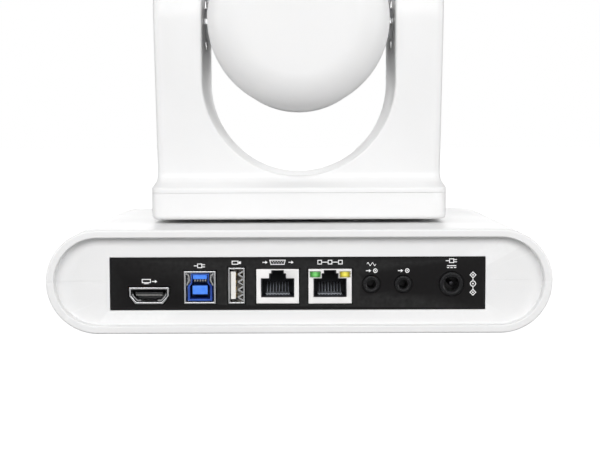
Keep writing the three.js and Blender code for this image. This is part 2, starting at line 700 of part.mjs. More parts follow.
function addSpindle() {
  const [flangeRadius, flangeThick] = spindleFlange;
  const low = bearingBottomZ - 3;
  const seat = trayBottomZ + trayWall + seam;
  const high = seat + flangeThick;
  const spindle = turned('z', [[spindleBore, low], [spindleRadius, low], [spindleRadius, seat],
    [flangeRadius, seat], [flangeRadius, high], [spindleBore, high], [spindleBore, low]], roundMedium);
  put(turntable, 'pan_spindle', spindle, sheetSteel);
  const gear = prism('z', gearOutline(ringTeeth, gearModule), ringBottomZ, ringTopZ)
    .subtract(rod('z', spindleRadius + seam, 0, topZ));
  const mesh = put(turntable, 'pan_ring_gear', gear, gearPlastic);
  mesh.rotation.z = motorAngle;
}

// The fork's front view, drawn smaller by inset: flared sides, round tops, U opening.
function forkOutline(inset, lowZ) {
  const high = armTopZ - inset;
  const lowX = yokeHalf - inset - (plinthTopZ - lowZ) * armFlare;
  const highX = yokeHalf - inset + (high - plinthTopZ) * armFlare;
  const innerX = openingRadius + inset;
  const outerCorner = armOuterCorner - inset;
  const innerCorner = armInnerCorner - inset;
  const shape = new THREE.Shape();
  shape.moveTo(-lowX, lowZ);
  shape.lineTo(lowX, lowZ);
  shape.lineTo(highX, high - outerCorner);
  shape.quadraticCurveTo(highX, high, highX - outerCorner, high);
  shape.lineTo(innerX + innerCorner, high);
  shape.quadraticCurveTo(innerX, high, innerX, high - innerCorner);
  shape.absarc(0, openingCentreZ, innerX, 0, -Math.PI, true);
  shape.lineTo(-innerX, high - innerCorner);
  shape.quadraticCurveTo(-innerX, high, -innerX - innerCorner, high);
  shape.lineTo(-highX + outerCorner, high);
  shape.quadraticCurveTo(-highX, high, -highX, high - outerCorner);
  return shape;
}

// The fork's side view: straight sides under a half circle about the tilt axis.
function armOutline(inset, lowZ) {
  const half = yokeDepth / 2 - inset;
  const shape = new THREE.Shape();
  shape.moveTo(-half, lowZ);
  shape.lineTo(half, lowZ);
  shape.absarc(0, tiltZ, half, 0, Math.PI);
  return shape;
}

function forkSolid(inset, lowZ) {
  const reach = yokeDepth / 2 - inset;
  const front = prism('y', forkOutline(inset, lowZ), -reach, reach);
  return front.intersect(prism('x', armOutline(inset, lowZ), -trayHalfX * 2, trayHalfX * 2));
}

// The sloping plinth under the fork, from the tray's outline up to the fork's.
function plinthSolid() {
  const low = trayTopZ + seam / 2;
  const bend = trayTopZ + plinthEdge;
  const slope = (edge, run) => outline([[-edge, low], [edge, low], [edge, bend],
    [edge - run, plinthTopZ], [run - edge, plinthTopZ], [-edge, bend]]);
  const across = prism('y', slope(trayHalfX, plinthSide), -trayHalfY, trayHalfY);
  const along = prism('x', slope(trayHalfY, plinthRun), -trayHalfX, trayHalfX);
  const plan = prism('z', roundedRectangle(trayHalfX, trayHalfY, trayCorner), low, plinthTopZ, cornerSteps);
  return across.intersect(along).intersect(plan);
}

function addYokeShells() {
  const low = trayTopZ + seam / 2;
  let fork = forkSolid(0, plinthTopZ - 1).add(plinthSolid());
  fork = fork.subtract(forkSolid(yokeWall, low - 2));
  for (const side of [-1, 1]) {
    const holeEnds = [openingRadius - 1, openingRadius + yokeWall + 0.5].map((x) => side * x);
    const [from, to] = holeEnds.sort((a, b) => a - b);
    fork = fork.subtract(rod('x', tiltBearingOuter + seam, from, to, [0, 0, tiltZ]));
  }
  const reach = 2 * trayHalfX;
  const ahead = [-yokeDepth, coverBackY];
  const cover = fork.intersect(block([-reach, reach], ahead, [plinthTopZ + seam, armTopZ + 1]));
  const cutBack = [-yokeDepth, coverBackY + seam];
  const rear = fork.subtract(block([-reach, reach], cutBack, [plinthTopZ, armTopZ + 1]));
  put(turntable, 'yoke_front_cover', cover, whitePlastic);
  put(turntable, 'yoke_rear_shell', rear, whitePlastic);
}

// A bent steel strap: a plate across the yoke's foot with an upright in each arm.
function addYokeChassis() {
  const outer = yokeHalf - yokeWall - (plinthTopZ - trayTopZ) * armFlare - 2 * seam;
  const inner = outer - chassisThick;
  const low = trayTopZ + 2 * seam;
  const high = tiltZ + 4;
  const strap = outline([[-outer, low], [outer, low], [outer, high], [inner, high],
    [inner, low + chassisThick], [-inner, low + chassisThick], [-inner, high], [-outer, high]]);
  put(turntable, 'yoke_chassis', prism('y', strap, -chassisDepth / 2, chassisDepth / 2), sheetSteel);
}

function addTiltDrive() {
  const place = [0, 0, tiltZ - tiltCentres];
  const end = tiltMotorX + tiltMotorWidth;
  const motor = rod('x', tiltMotorRadius, tiltMotorX, end)
    .subtract(rod('x', tiltMotorShaft + runGap, tiltMotorX - 1, end - 1, [0, 0, 0], roundSmall));
  put(turntable, 'tilt_motor', motor, sheetSteel, place);
  const pinion = prism('x', gearOutline(tiltPinionTeeth, tiltModule), tiltGearX, tiltGearX + tiltGearThick)
    .add(rod('x', tiltMotorShaft, tiltGearX + 1, end - 1.5, [0, 0, 0], roundSmall));
  const mesh = put(turntable, 'tilt_pinion', pinion, gearPlastic, place);
  mesh.rotation.x = Math.PI / 2 + Math.PI / tiltPinionTeeth;
  for (const [name, side] of [['left', -1], ['right', 1]]) {
    const near = side * (openingRadius + seam);
    const far = near + side * tiltBearingWidth;
    const race = ring('x', shaftRadius + runGap, tiltBearingOuter, Math.min(near, far), Math.max(near, far));
    put(turntable, `tilt_bearing_${name}`, race, platedSteel, [0, 0, tiltZ]);
  }
}

// ---- head: drawn about the tilt axis ----
function addHeadShells() {
  const inner = headRadius - headWall;
  const [rearArc, frontArc] = [headRearRounding, headFrontRounding];
  const rearCentre = [headRadius - rearArc, headRear - rearArc];
  const joint = -headSeam + seam / 2;
  let rear = turned('y', [[0, headRear], ...arcPoints(rearCentre, rearArc, Math.PI / 2, 0),
    [headRadius, joint], [inner, joint], ...arcPoints(rearCentre, rearArc - headWall, 0, Math.PI / 2),
    [0, headRear - headWall]]);
  rear = rear.subtract(rod('x', shaftRadius + seam, -headRadius - 1, headRadius + 1));
  put(head, 'head_rear_shell', rear, whitePlastic);
  const frontCentre = [headRadius - frontArc, frontArc - headFront];
  const lip = frontArc - headWall;
  const front = turned('y', [[headRadius, joint - seam], ...arcPoints(frontCentre, frontArc, 0, -Math.PI / 2),
    [bezelRadius, -headFront], [bezelRadius, headWall - headFront],
    ...arcPoints(frontCentre, lip, -Math.PI / 2, 0), [inner, joint - seam], [headRadius, joint - seam]]);
  put(head, 'head_front_shell', front, whitePlastic);
}

// A dished black ring with the window in its throat.
function addLensBezel() {
  const outer = bezelRadius - seam;
  const throat = bezelRadius - bezelWidth;
  const face = -headFront + 0.5;
  const back = face + bezelDepth;
  const seat = back - windowThick;
  const bezel = turned('y', [[outer, face], [outer, face + 2], [outer - 2, back], [throat, back],
    [throat, seat - 1], [outer - 1.5, face], [outer, face]]);
  put(head, 'lens_bezel', bezel, blackPlastic);
  put(head, 'lens_window', rod('y', throat - seam, seat, back, [0, 0, 0], roundLarge), clearGlass);
}

function addLensBlock() {
  const half = blockHalf;
  const bore = rod('y', blockBore, -blockFront - 1, blockRear - blockBack);
  const sensorWay = block([-6, 6], [0, blockRear + 1], [-6, 6]);
  const housing = block([-half, half], [-blockFront, blockRear], [-half, half]);
  put(head, 'lens_block_housing', housing.subtract(bore).subtract(sensorWay), blackPlastic);
  const [boardSize, thick] = sensorBoard;
  const board = block([-boardSize / 2, boardSize / 2], [blockRear + seam, blockRear + seam + thick],
    [-boardSize / 2, boardSize / 2]);
  put(head, 'sensor_board', board, boardGreen);
  const rim = blockBore - seam;
  const crown = -blockFront + 0.5;
  const lens = turned('y', [[0, crown], [rim * 0.6, crown + 0.8], [rim, crown + 2.5],
    [rim, crown + frontLensThick], [0, crown + frontLensThick]], roundMedium);
  put(head, 'front_lens', lens, coatedGlass);
}

// A lens held in a ring: thick in the middle, with a collar that rides in the bore.
function lensGroup([from, to]) {
  const rim = blockBore - runGap;
  const middle = (from + to) / 2;
  return turned('y', [[0, middle - 3], [rim - 3, middle - 1], [rim - 3, from], [rim, from], [rim, to],
    [rim - 3, to], [rim - 3, middle + 1], [0, middle + 3]], roundMedium);
}

// A bent frame under and beside the lens block, with a flanged shaft on each side.
function addHeadFrame() {
  const outer = frameX + frameThick;
  const low = -blockHalf - seam - frameThick;
  const shape = outline([[-outer, low], [outer, low], [outer, frameHeight], [frameX, frameHeight],
    [frameX, low + frameThick], [-frameX, low + frameThick], [-frameX, frameHeight], [-outer, frameHeight]]);
  put(head, 'head_frame', prism('y', shape, -frameDepth / 2, frameDepth / 2), sheetSteel);
  const [flangeRadius, flangeThick] = shaftFlange;
  const seat = outer + seam;
  const ends = { left: openingRadius + yokeWall + 1, right: tiltGearX + tiltGearThick };
  for (const [name, side] of [['left', -1], ['right', 1]]) {
    const profile = [[shaftBore, seat], [flangeRadius, seat], [flangeRadius, seat + flangeThick],
      [shaftRadius, seat + flangeThick], [shaftRadius, ends[name]], [shaftBore, ends[name]],
      [shaftBore, seat]];
    const shaft = turned('x', profile.map(([radius, along]) => [radius, side * along]), roundMedium);
    put(head, `tilt_shaft_${name}`, shaft, platedSteel);
  }
}

function addTiltGear() {
  const gear = prism('x', gearOutline(tiltTeeth, tiltModule), tiltGearX, tiltGearX + tiltGearThick)
    .subtract(rod('x', shaftRadius + seam, 0, tiltGearX * 2));
  const mesh = put(head, 'tilt_gear', gear, gearPlastic);
  mesh.rotation.x = -Math.PI / 2;
}

addBaseShells();
addBaseFittings();
addPanel();
addVideoSocket();
addSquareSocket();
addFlatSocket();
addModularJacks();
addRoundJacks();
addMainBoard();
addChassisPlate();
addPanDrive();
addTray();
addSpindle();
addYokeShells();
addYokeChassis();
addTiltDrive();
addHeadShells();
addLensBezel();
addLensBlock();
put(head, 'zoom_lens_group', lensGroup(zoomPlace), coatedGlass);
put(head, 'focus_lens_group', lensGroup(focusPlace), coatedGlass);
addHeadFrame();
addTiltGear();

export default camera;
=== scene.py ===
import json
import math
import bmesh
import bpy
import numpy as np
from mathutils import Matrix, Vector


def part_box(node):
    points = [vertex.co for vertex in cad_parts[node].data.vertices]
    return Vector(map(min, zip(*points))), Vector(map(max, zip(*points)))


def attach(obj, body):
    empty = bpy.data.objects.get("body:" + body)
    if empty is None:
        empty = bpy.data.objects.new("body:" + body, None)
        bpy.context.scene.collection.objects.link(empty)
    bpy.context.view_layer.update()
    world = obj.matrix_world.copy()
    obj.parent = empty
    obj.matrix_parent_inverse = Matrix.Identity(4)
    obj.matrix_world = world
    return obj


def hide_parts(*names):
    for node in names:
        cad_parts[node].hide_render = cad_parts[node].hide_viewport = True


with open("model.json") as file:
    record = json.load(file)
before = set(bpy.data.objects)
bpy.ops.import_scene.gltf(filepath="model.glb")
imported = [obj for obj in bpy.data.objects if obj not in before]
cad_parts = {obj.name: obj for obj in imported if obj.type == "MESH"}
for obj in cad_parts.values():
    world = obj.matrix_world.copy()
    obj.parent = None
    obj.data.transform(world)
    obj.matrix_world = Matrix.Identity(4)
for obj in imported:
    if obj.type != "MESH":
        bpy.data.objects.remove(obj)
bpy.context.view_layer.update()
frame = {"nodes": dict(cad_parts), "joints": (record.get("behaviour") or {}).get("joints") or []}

mm = 0.001
pi = math.pi
mergeWithin = 2e-6
flatWithin = math.radians(1)
smoothUnder = 35
print("frame loaded")


# Sizes read from the frame, in millimetres.
def lowHigh(node):
    low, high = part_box(node)
    return np.array(low) / mm, np.array(high) / mm


def middleOf(node):
    low, high = lowHigh(node)
    return (low + high) / 2


def jointPlace(name):
    joint = next(j for j in frame["joints"] if j["name"] == name)
    return np.array(joint["pos_m"]) / mm


topLow, topHigh = lowHigh("base_top_shell")
bottomLow = lowHigh("base_bottom_shell")[0]
panelLow, panelHigh = lowHigh("rear_io_panel")
trayLow, trayHigh = lowHigh("turntable_tray")
coverLow, coverHigh = lowHigh("yoke_front_cover")
yokeLow = lowHigh("yoke_rear_shell")[0]
rearFace = panelHigh[1]
baseMiddle = (topHigh[2] + bottomLow[2]) / 2
tiltZ = jointPlace("tilt")[2]


# Surfaces as arrays.
# Quads of a grid: point (i, j) joins its next neighbours in i and in j, round the end where it wraps.
def gridFaces(rows, cols, wrapRows=False, wrapCols=False):
    i, j = np.meshgrid(np.arange(rows - (not wrapRows)), np.arange(cols - (not wrapCols)), indexing="ij")
    below, beside = (i + 1) % rows, (j + 1) % cols
    quads = np.stack([i * cols + j, below * cols + j, below * cols + beside, i * cols + beside], -1)
    return quads.reshape(-1, 4)


# A grid of points (rows, cols, 3) as points and faces, with both end rows closed by a flat cap if asked.
def gridShape(points, wrapRows=False, wrapCols=False, caps=False):
    rows, cols = points.shape[:2]
    faces = gridFaces(rows, cols, wrapRows, wrapCols).tolist()
    if caps:
        faces += [list(range(cols))[::-1], list(range((rows - 1) * cols, rows * cols))]
    return points.reshape(-1, 3), faces


# Several shapes as one: each one's faces count on from the points before it.
def joinShapes(shapes):
    points, faces, start = [], [], 0
    for shapePoints, shapeFaces in shapes:
        points.append(shapePoints)
        faces += [[start + corner for corner in face] for face in shapeFaces]
        start += len(shapePoints)
    return np.concatenate(points), faces


# Corners of a line are cut back by radius * tan(half the turn) and an arc of that radius joins the cuts.
def roundedLine(corners, radii, steps=6, closed=False):
    corners = np.array(corners, float)
    count = len(corners)
    radii = np.broadcast_to(np.array(radii, float), count)
    line = []
    for k in range(count):
        here = corners[k]
        if (not closed and k in (0, count - 1)) or radii[k] <= 0:
            line.append(here[None])
            continue
        back, ahead = corners[k - 1] - here, corners[(k + 1) % count] - here
        back, ahead = back / np.linalg.norm(back), ahead / np.linalg.norm(ahead)
        half = math.acos(np.clip(back @ ahead, -1, 1)) / 2
        middle = here + (back + ahead) / np.linalg.norm(back + ahead) * radii[k] / math.sin(half)
        start = here + back * radii[k] / math.tan(half) - middle
        end = here + ahead * radii[k] / math.tan(half) - middle
        turn = np.linspace(0, 1, steps + 1)[:, None]
        angle = pi - 2 * half
        arc = np.sin((1 - turn) * angle) * start + np.sin(turn * angle) * end
        line.append(middle + arc / math.sin(angle))
    return np.concatenate(line)


# Points added along each straight stretch longer than a step.
def refinedLine(line, step, closed=False):
    ends = np.roll(line, -1, axis=0) if closed else line[1:]
    pieces = []
    for start, end in zip(line, ends):
        count = max(1, int(round(np.linalg.norm(end - start) / step)))
        pieces.append(start + (end - start) * (np.arange(count) / count)[:, None])
    return np.concatenate(pieces if closed else pieces + [line[-1:]])


def oblong(halfU, halfV):
    return [(halfU, -halfV), (halfU, halfV), (-halfU, halfV), (-halfU, -halfV)]


# Rings inside an outline: each point goes in by an inset, straight towards the nearest point of a core.
def ringsWithin(outline, core, insets):
    nearest = np.clip(outline, -core, core)
    outward = (outline - nearest) / np.linalg.norm(outline - nearest, axis=1)[:, None]
    return outline[:, None] - insets[None, :, None] * outward[:, None]


# Places for a number of like things at an even pitch about a middle.
def evenPlaces(count, pitch, middle=0.0):
    return (np.arange(count) - (count - 1) / 2) * pitch + middle


# A closed or open profile of (radius, place) turned round an axis through centre.
def turnedShape(profile, axis, centre, segments=96, closed=False):
    profile = np.array(profile, float)
    angle = np.linspace(0, 2 * pi, segments, endpoint=False)
    radius, along = profile[None, :, 0], profile[None, :, 1]
    u, v = radius * np.cos(angle)[:, None], radius * np.sin(angle)[:, None]
    along = np.broadcast_to(along, u.shape)
    order = {"x": (along, u, v), "y": (v, along, u), "z": (u, v, along)}[axis]
    points = np.stack(order, -1) + np.array(centre, float)
    return gridShape(points, wrapRows=True, wrapCols=closed)


# A section (u, v) carried along a line of points: u goes sideways and v up, square to the line.
def carriedShape(line, section, upward):
    line, section = np.array(line, float), np.array(section, float)
    along = np.gradient(line, axis=0)
    along /= np.linalg.norm(along, axis=1)[:, None]
    side = np.cross(along, np.array(upward, float))
    side /= np.linalg.norm(side, axis=1)[:, None]
    up = np.cross(side, along)
    points = (line[:, None] + section[None, :, 0, None] * side[:, None]
              + section[None, :, 1, None] * up[:, None])
    return gridShape(points, wrapCols=True, caps=True)


# Points at even angles on a circle.
def disc(radius, sides=24):
    angle = np.linspace(0, 2 * pi, sides, endpoint=False)
    return np.stack([radius * np.cos(angle), radius * np.sin(angle)], -1)


# A flat closed outline (x, z) carried straight from one y to another.
def prismShape(outline, start, end):
    outline = np.array(outline, float)
    x, z = outline[:, 0], outline[:, 1]
    rows = [np.stack([x, np.full(len(x), float(y)), z], -1) for y in (start, end)]
    return gridShape(np.stack(rows), wrapCols=True, caps=True)


def blockShape(low, high):
    outline = [(low[0], low[2]), (high[0], low[2]), (high[0], high[2]), (low[0], high[2])]
    return prismShape(outline, low[1], high[1])


# A strip of even thickness that follows a line (x, z), carried straight from one y to another.
def stripShape(line, thickness, start, end):
    along = np.gradient(np.array(line, float), axis=0)
    along /= np.linalg.norm(along, axis=1)[:, None]
    side = np.stack([-along[:, 1], along[:, 0]], -1) * thickness / 2
    return prismShape(np.concatenate([line + side, (line - side)[::-1]]), start, end)


# A shape repeated at each offset.
def repeatShape(shape, offsets):
    points, faces = shape
    return joinShapes([(points + np.array(offset, float), faces) for offset in offsets])


# From arrays to pieces.
def placeObject(name, data):
    made = bpy.data.objects.new(name, data)
    bpy.context.scene.collection.objects.link(made)
    return made


def newPiece(name, shape, smoothAngle=smoothUnder, inside=None, asDrawn=False):
    points, faces = shape
    mesh = bpy.data.meshes.new(name)
    mesh.from_pydata((points * mm).tolist(), [], faces)
    tidyMesh(mesh, inside, asDrawn)
    shadeSmooth(mesh, smoothAngle)
    return placeObject(name, mesh)


# Doubles are merged, and unless it is right as drawn, the surface is turned to point away from its inside.
def tidyMesh(mesh, inside, asDrawn):
    work = bmesh.new()
    work.from_mesh(mesh)
    bmesh.ops.remove_doubles(work, verts=work.verts, dist=mergeWithin)
    bmesh.ops.dissolve_degenerate(work, edges=work.edges, dist=mergeWithin / 2)
    if not asDrawn:
        bmesh.ops.recalc_face_normals(work, faces=work.faces)
        if inside is None:
            outward = work.calc_volume(signed=True)
        else:
            middle = Vector(np.array(inside, float) * mm)
            outward = sum(f.normal.dot(f.calc_center_median() - middle) * f.calc_area() for f in work.faces)
        if outward < 0:
            bmesh.ops.reverse_faces(work, faces=work.faces)
    work.to_mesh(mesh)
    work.free()


def shadeSmooth(mesh, angle):
    mesh.polygons.foreach_set("use_smooth", [True] * len(mesh.polygons))
    mesh.set_sharp_from_angle(angle=math.radians(angle))


def addWall(piece, thickness, even=True):
    wall = piece.modifiers.new("wall", "SOLIDIFY")
    wall.thickness = thickness * mm
    wall.offset = -1
    wall.use_even_offset = even
    wall.use_rim = True


def addEdge(piece, width, segments=2, angle=50):
    edge = piece.modifiers.new("edge", "BEVEL")
    edge.width = width * mm
    edge.segments = segments
    edge.limit_method = "ANGLE"
    edge.angle_limit = math.radians(angle)
    edge.use_clamp_overlap = True
    edge.harden_normals = True


def addFlatNormals(piece):
    even = piece.modifiers.new("evenNormals", "WEIGHTED_NORMAL")
    even.keep_sharp = True


def applyModifiers(piece):
    bpy.context.view_layer.update()
    finished = piece.evaluated_get(bpy.context.evaluated_depsgraph_get())
    mesh = bpy.data.meshes.new_from_object(finished)
    piece.modifiers.clear()
    old = piece.data
    piece.data = mesh
    bpy.data.meshes.remove(old)
    mesh.name = piece.name


# Round holes, each (axis, centre, radius, from, to), cut in one go.
def drill(piece, holes):
    rods = []
    for axis, centre, radius, start, end in holes:
        profile = [(0, start), (radius, start), (radius, end), (0, end)]
        rods.append(turnedShape(profile, axis, centre, 48))
    drills = newPiece(piece.name + "_drills", joinShapes(rods))
    holed = piece.modifiers.new("holes", "BOOLEAN")
    holed.operation = "DIFFERENCE"
    holed.solver = "EXACT"
    holed.object = drills
    applyModifiers(piece)
    bpy.data.objects.remove(drills)
    shadeSmooth(piece.data, smoothUnder)


# A piece drawn from a CAD node's own shape, with its edges eased.
def easedCopy(node, name, width, segments, joinFaces):
    mesh = frame["nodes"][node].data.copy()
    mesh.name = name
    mesh.materials.clear()
    work = bmesh.new()
    work.from_mesh(mesh)
    bmesh.ops.remove_doubles(work, verts=work.verts, dist=mergeWithin)
    if joinFaces:
        bmesh.ops.dissolve_limit(work, angle_limit=flatWithin, verts=work.verts, edges=work.edges)
    work.to_mesh(mesh)
    work.free()
    shadeSmooth(mesh, 30)
    piece = placeObject(name, mesh)
    addEdge(piece, width, segments, 40)
    return piece


def settle(piece, body, material, nodes=()):
    piece.data.materials.clear()
    piece.data.materials.append(material)
    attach(piece, body)
    if nodes:
        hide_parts(*nodes)
    return piece


# Shader groups.
def newGroup(name, inputs, outputs):
    tree = bpy.data.node_groups.new(name, "ShaderNodeTree")
    for socket, kind, value in inputs:
        made = tree.interface.new_socket(socket, in_out="INPUT", socket_type=kind)
        made.default_value = value
    for socket, kind in outputs:
        tree.interface.new_socket(socket, in_out="OUTPUT", socket_type=kind)
    return tree, tree.nodes.new("NodeGroupInput"), tree.nodes.new("NodeGroupOutput")


def addNode(tree, kind, settings=None, values=None):
    node = tree.nodes.new(kind)
    for key, value in (settings or {}).items():
        setattr(node, key, value)
    for key, value in (values or {}).items():
        node.inputs[key].default_value = value
    return node


floatKind = "NodeSocketFloat"


# Moulded grain: fine bumps over a slow unevenness. Height feeds a bump, Tone a colour or roughness.
def makeGrainGroup():
    tree, enter, leave = newGroup("mouldedGrain", [
        ("Grain per metre", floatKind, 2600), ("Patch per metre", floatKind, 30),
        ("Grain share", floatKind, 0.8)], [("Height", floatKind), ("Tone", floatKind)])
    place = addNode(tree, "ShaderNodeTexCoord")
    grain = addNode(tree, "ShaderNodeTexNoise", values={"Detail": 3.0, "Roughness": 0.6})
    patch = addNode(tree, "ShaderNodeTexNoise", values={"Detail": 2.0, "Roughness": 0.5})
    blend = addNode(tree, "ShaderNodeMix", {"data_type": "FLOAT"})
    for noise, scale in ((grain, "Grain per metre"), (patch, "Patch per metre")):
        tree.links.new(place.outputs["Object"], noise.inputs["Vector"])
        tree.links.new(enter.outputs[scale], noise.inputs["Scale"])
    tree.links.new(enter.outputs["Grain share"], blend.inputs["Factor"])
    tree.links.new(patch.outputs["Fac"], blend.inputs["A"])
    tree.links.new(grain.outputs["Fac"], blend.inputs["B"])
    tree.links.new(blend.outputs["Result"], leave.inputs["Height"])
    tree.links.new(patch.outputs["Fac"], leave.inputs["Tone"])
    return tree


# Rubbed edges with a painted highlight: how sharply the surface turns outward, broken up by noise, for a
# lighter colour on convex edges.
def makeEdgeWearAndHighlightGroup():
    tree, enter, leave = newGroup("edgeWearAndHighlight", [
        ("Start", floatKind, 0.53), ("End", floatKind, 0.62), ("Break per metre", floatKind, 700)],
        [("Mask", floatKind)])
    turn = addNode(tree, "ShaderNodeNewGeometry")
    place = addNode(tree, "ShaderNodeTexCoord")
    noise = addNode(tree, "ShaderNodeTexNoise", values={"Detail": 4.0})
    spread = addNode(tree, "ShaderNodeMapRange", {"clamp": True})
    times = addNode(tree, "ShaderNodeMath", {"operation": "MULTIPLY"})
    tree.links.new(place.outputs["Object"], noise.inputs["Vector"])
    tree.links.new(enter.outputs["Break per metre"], noise.inputs["Scale"])
    tree.links.new(turn.outputs["Pointiness"], spread.inputs["Value"])
    tree.links.new(enter.outputs["Start"], spread.inputs["From Min"])
    tree.links.new(enter.outputs["End"], spread.inputs["From Max"])
    tree.links.new(spread.outputs["Result"], times.inputs[0])
    tree.links.new(noise.outputs["Fac"], times.inputs[1])
    tree.links.new(times.outputs[0], leave.inputs["Mask"])
    return tree


# Drawn lines: noise stretched along one direction, as rolled or brushed metal shows.
def makeLinesGroup():
    tree, enter, leave = newGroup("drawnLines", [
        ("Lines per metre", floatKind, 3000), ("Stretch", floatKind, 0.03)],
        [("Height", floatKind), ("Tone", floatKind)])
    place = addNode(tree, "ShaderNodeTexCoord")
    apart = addNode(tree, "ShaderNodeSeparateXYZ")
    along = addNode(tree, "ShaderNodeMath", {"operation": "MULTIPLY"})
    join = addNode(tree, "ShaderNodeCombineXYZ")
    lines = addNode(tree, "ShaderNodeTexNoise", values={"Detail": 4.0, "Roughness": 0.65})
    smudge = addNode(tree, "ShaderNodeTexNoise", values={"Scale": 160.0, "Detail": 3.0})
    tree.links.new(place.outputs["Object"], apart.inputs["Vector"])
    tree.links.new(apart.outputs["X"], along.inputs[0])
    tree.links.new(enter.outputs["Stretch"], along.inputs[1])
    tree.links.new(along.outputs[0], join.inputs["X"])
    tree.links.new(apart.outputs["Y"], join.inputs["Y"])
    tree.links.new(apart.outputs["Z"], join.inputs["Z"])
    tree.links.new(join.outputs["Vector"], lines.inputs["Vector"])
    tree.links.new(enter.outputs["Lines per metre"], lines.inputs["Scale"])
    tree.links.new(place.outputs["Object"], smudge.inputs["Vector"])
    tree.links.new(lines.outputs["Fac"], leave.inputs["Height"])
    tree.links.new(smudge.outputs["Fac"], leave.inputs["Tone"])
    return tree


grainGroup, edgeWearAndHighlightGroup, linesGroup = makeGrainGroup(), makeEdgeWearAndHighlightGroup(), makeLinesGroup()


def placeGroup(tree, group, values=None):
    return addNode(tree, "ShaderNodeGroup", {"node_tree": group}, values)


def newMaterial(name):
    material = bpy.data.materials.new(name)
    material.use_nodes = True
    tree = material.node_tree
    return material, tree, tree.nodes["Principled BSDF"]


def colourOf(value):
    return (*value, 1.0)


# Two colours mixed by a mask, straight into the shader's colour.
def mixColours(tree, mask, first, second, target):
    blend = addNode(tree, "ShaderNodeMix", {"data_type": "RGBA"})
    blend.inputs["A"].default_value = colourOf(first)
    blend.inputs["B"].default_value = colourOf(second)
    tree.links.new(mask, blend.inputs["Factor"])
    tree.links.new(blend.outputs["Result"], target)


def mapRange(tree, source, low, high, target, fromLow=0.3, fromHigh=0.7):
    spread = addNode(tree, "ShaderNodeMapRange", values={
        "From Min": fromLow, "From Max": fromHigh, "To Min": low, "To Max": high})
    tree.links.new(source, spread.inputs["Value"])
    tree.links.new(spread.outputs["Result"], target)


def bumpFrom(tree, source, distance, strength, shader):
    bump = addNode(tree, "ShaderNodeBump", values={"Distance": distance * mm, "Strength": strength})
    tree.links.new(source, bump.inputs["Height"])
    tree.links.new(bump.outputs["Normal"], shader.inputs["Normal"])


# Plastic: an even colour with a slow drift, a fine grain, and convex edges painted lighter, partly as rubbed
# wear and partly as painted highlight.
def mouldedPlastic(name, look):
    material, tree, shader = newMaterial(name)
    grain = placeGroup(tree, grainGroup, {"Grain per metre": look["grain"], "Grain share": look["share"]})
    # The edge mask mixes a lighter colour into convex edges: partly rubbed wear, partly a painted highlight.
    wearAndHighlight = placeGroup(tree, edgeWearAndHighlightGroup)
    rubbedAndLit = addNode(tree, "ShaderNodeMix", {"data_type": "RGBA"})
    rubbedAndLit.inputs["B"].default_value = colourOf(look["wornAndLit"])
    tree.links.new(wearAndHighlight.outputs["Mask"], rubbedAndLit.inputs["Factor"])
    mixColours(tree, grain.outputs["Tone"], look["dark"], look["light"], rubbedAndLit.inputs["A"])
    tree.links.new(rubbedAndLit.outputs["Result"], shader.inputs["Base Color"])
    mapRange(tree, grain.outputs["Tone"], *look["rough"], shader.inputs["Roughness"])
    bumpFrom(tree, grain.outputs["Height"], look["depth"], look["strength"], shader)
    shader.inputs["IOR"].default_value = 1.48
    shader.inputs["Specular IOR Level"].default_value = look.get("gloss", 0.5)
    if look.get("soft"):
        shader.inputs["Subsurface Weight"].default_value = look["soft"]
        shader.inputs["Subsurface Radius"].default_value = (0.0012, 0.0011, 0.001)
        shader.inputs["Subsurface Scale"].default_value = 1.0
    return material


# Metal: drawn lines in the roughness and the bump, smudged a little.
def workedMetal(name, look):
    material, tree, shader = newMaterial(name)
    lines = placeGroup(tree, linesGroup, {"Lines per metre": look["lines"], "Stretch": look["stretch"]})
    mixColours(tree, lines.outputs["Tone"], look["dark"], look["light"], shader.inputs["Base Color"])
    mapRange(tree, lines.outputs["Tone"], *look["rough"], shader.inputs["Roughness"])
    bumpFrom(tree, lines.outputs["Height"], look["depth"], 0.5, shader)
    shader.inputs["Metallic"].default_value = 1.0
    return material


boardForm = {"tracksPerMetre": 420.0, "mask": (0.005, 0.09, 0.03), "track": (0.012, 0.19, 0.06), "rough": 0.35}


# Solder mask over copper: square blocks of track with pads between them.
def boardFinish(name):
    form = boardForm
    material, tree, shader = newMaterial(name)
    place = addNode(tree, "ShaderNodeTexCoord")
    tracks = addNode(tree, "ShaderNodeTexVoronoi", {"distance": "CHEBYCHEV", "feature": "F1"},
                     {"Scale": form["tracksPerMetre"]})
    edge = addNode(tree, "ShaderNodeMapRange", values={"From Min": 0.42, "From Max": 0.46})
    tree.links.new(place.outputs["Object"], tracks.inputs["Vector"])
    tree.links.new(tracks.outputs["Distance"], edge.inputs["Value"])
    mixColours(tree, edge.outputs["Result"], form["mask"], form["track"], shader.inputs["Base Color"])
    bumpFrom(tree, edge.outputs["Result"], 0.05, 0.5, shader)
    shader.inputs["Roughness"].default_value = form["rough"]
    return material


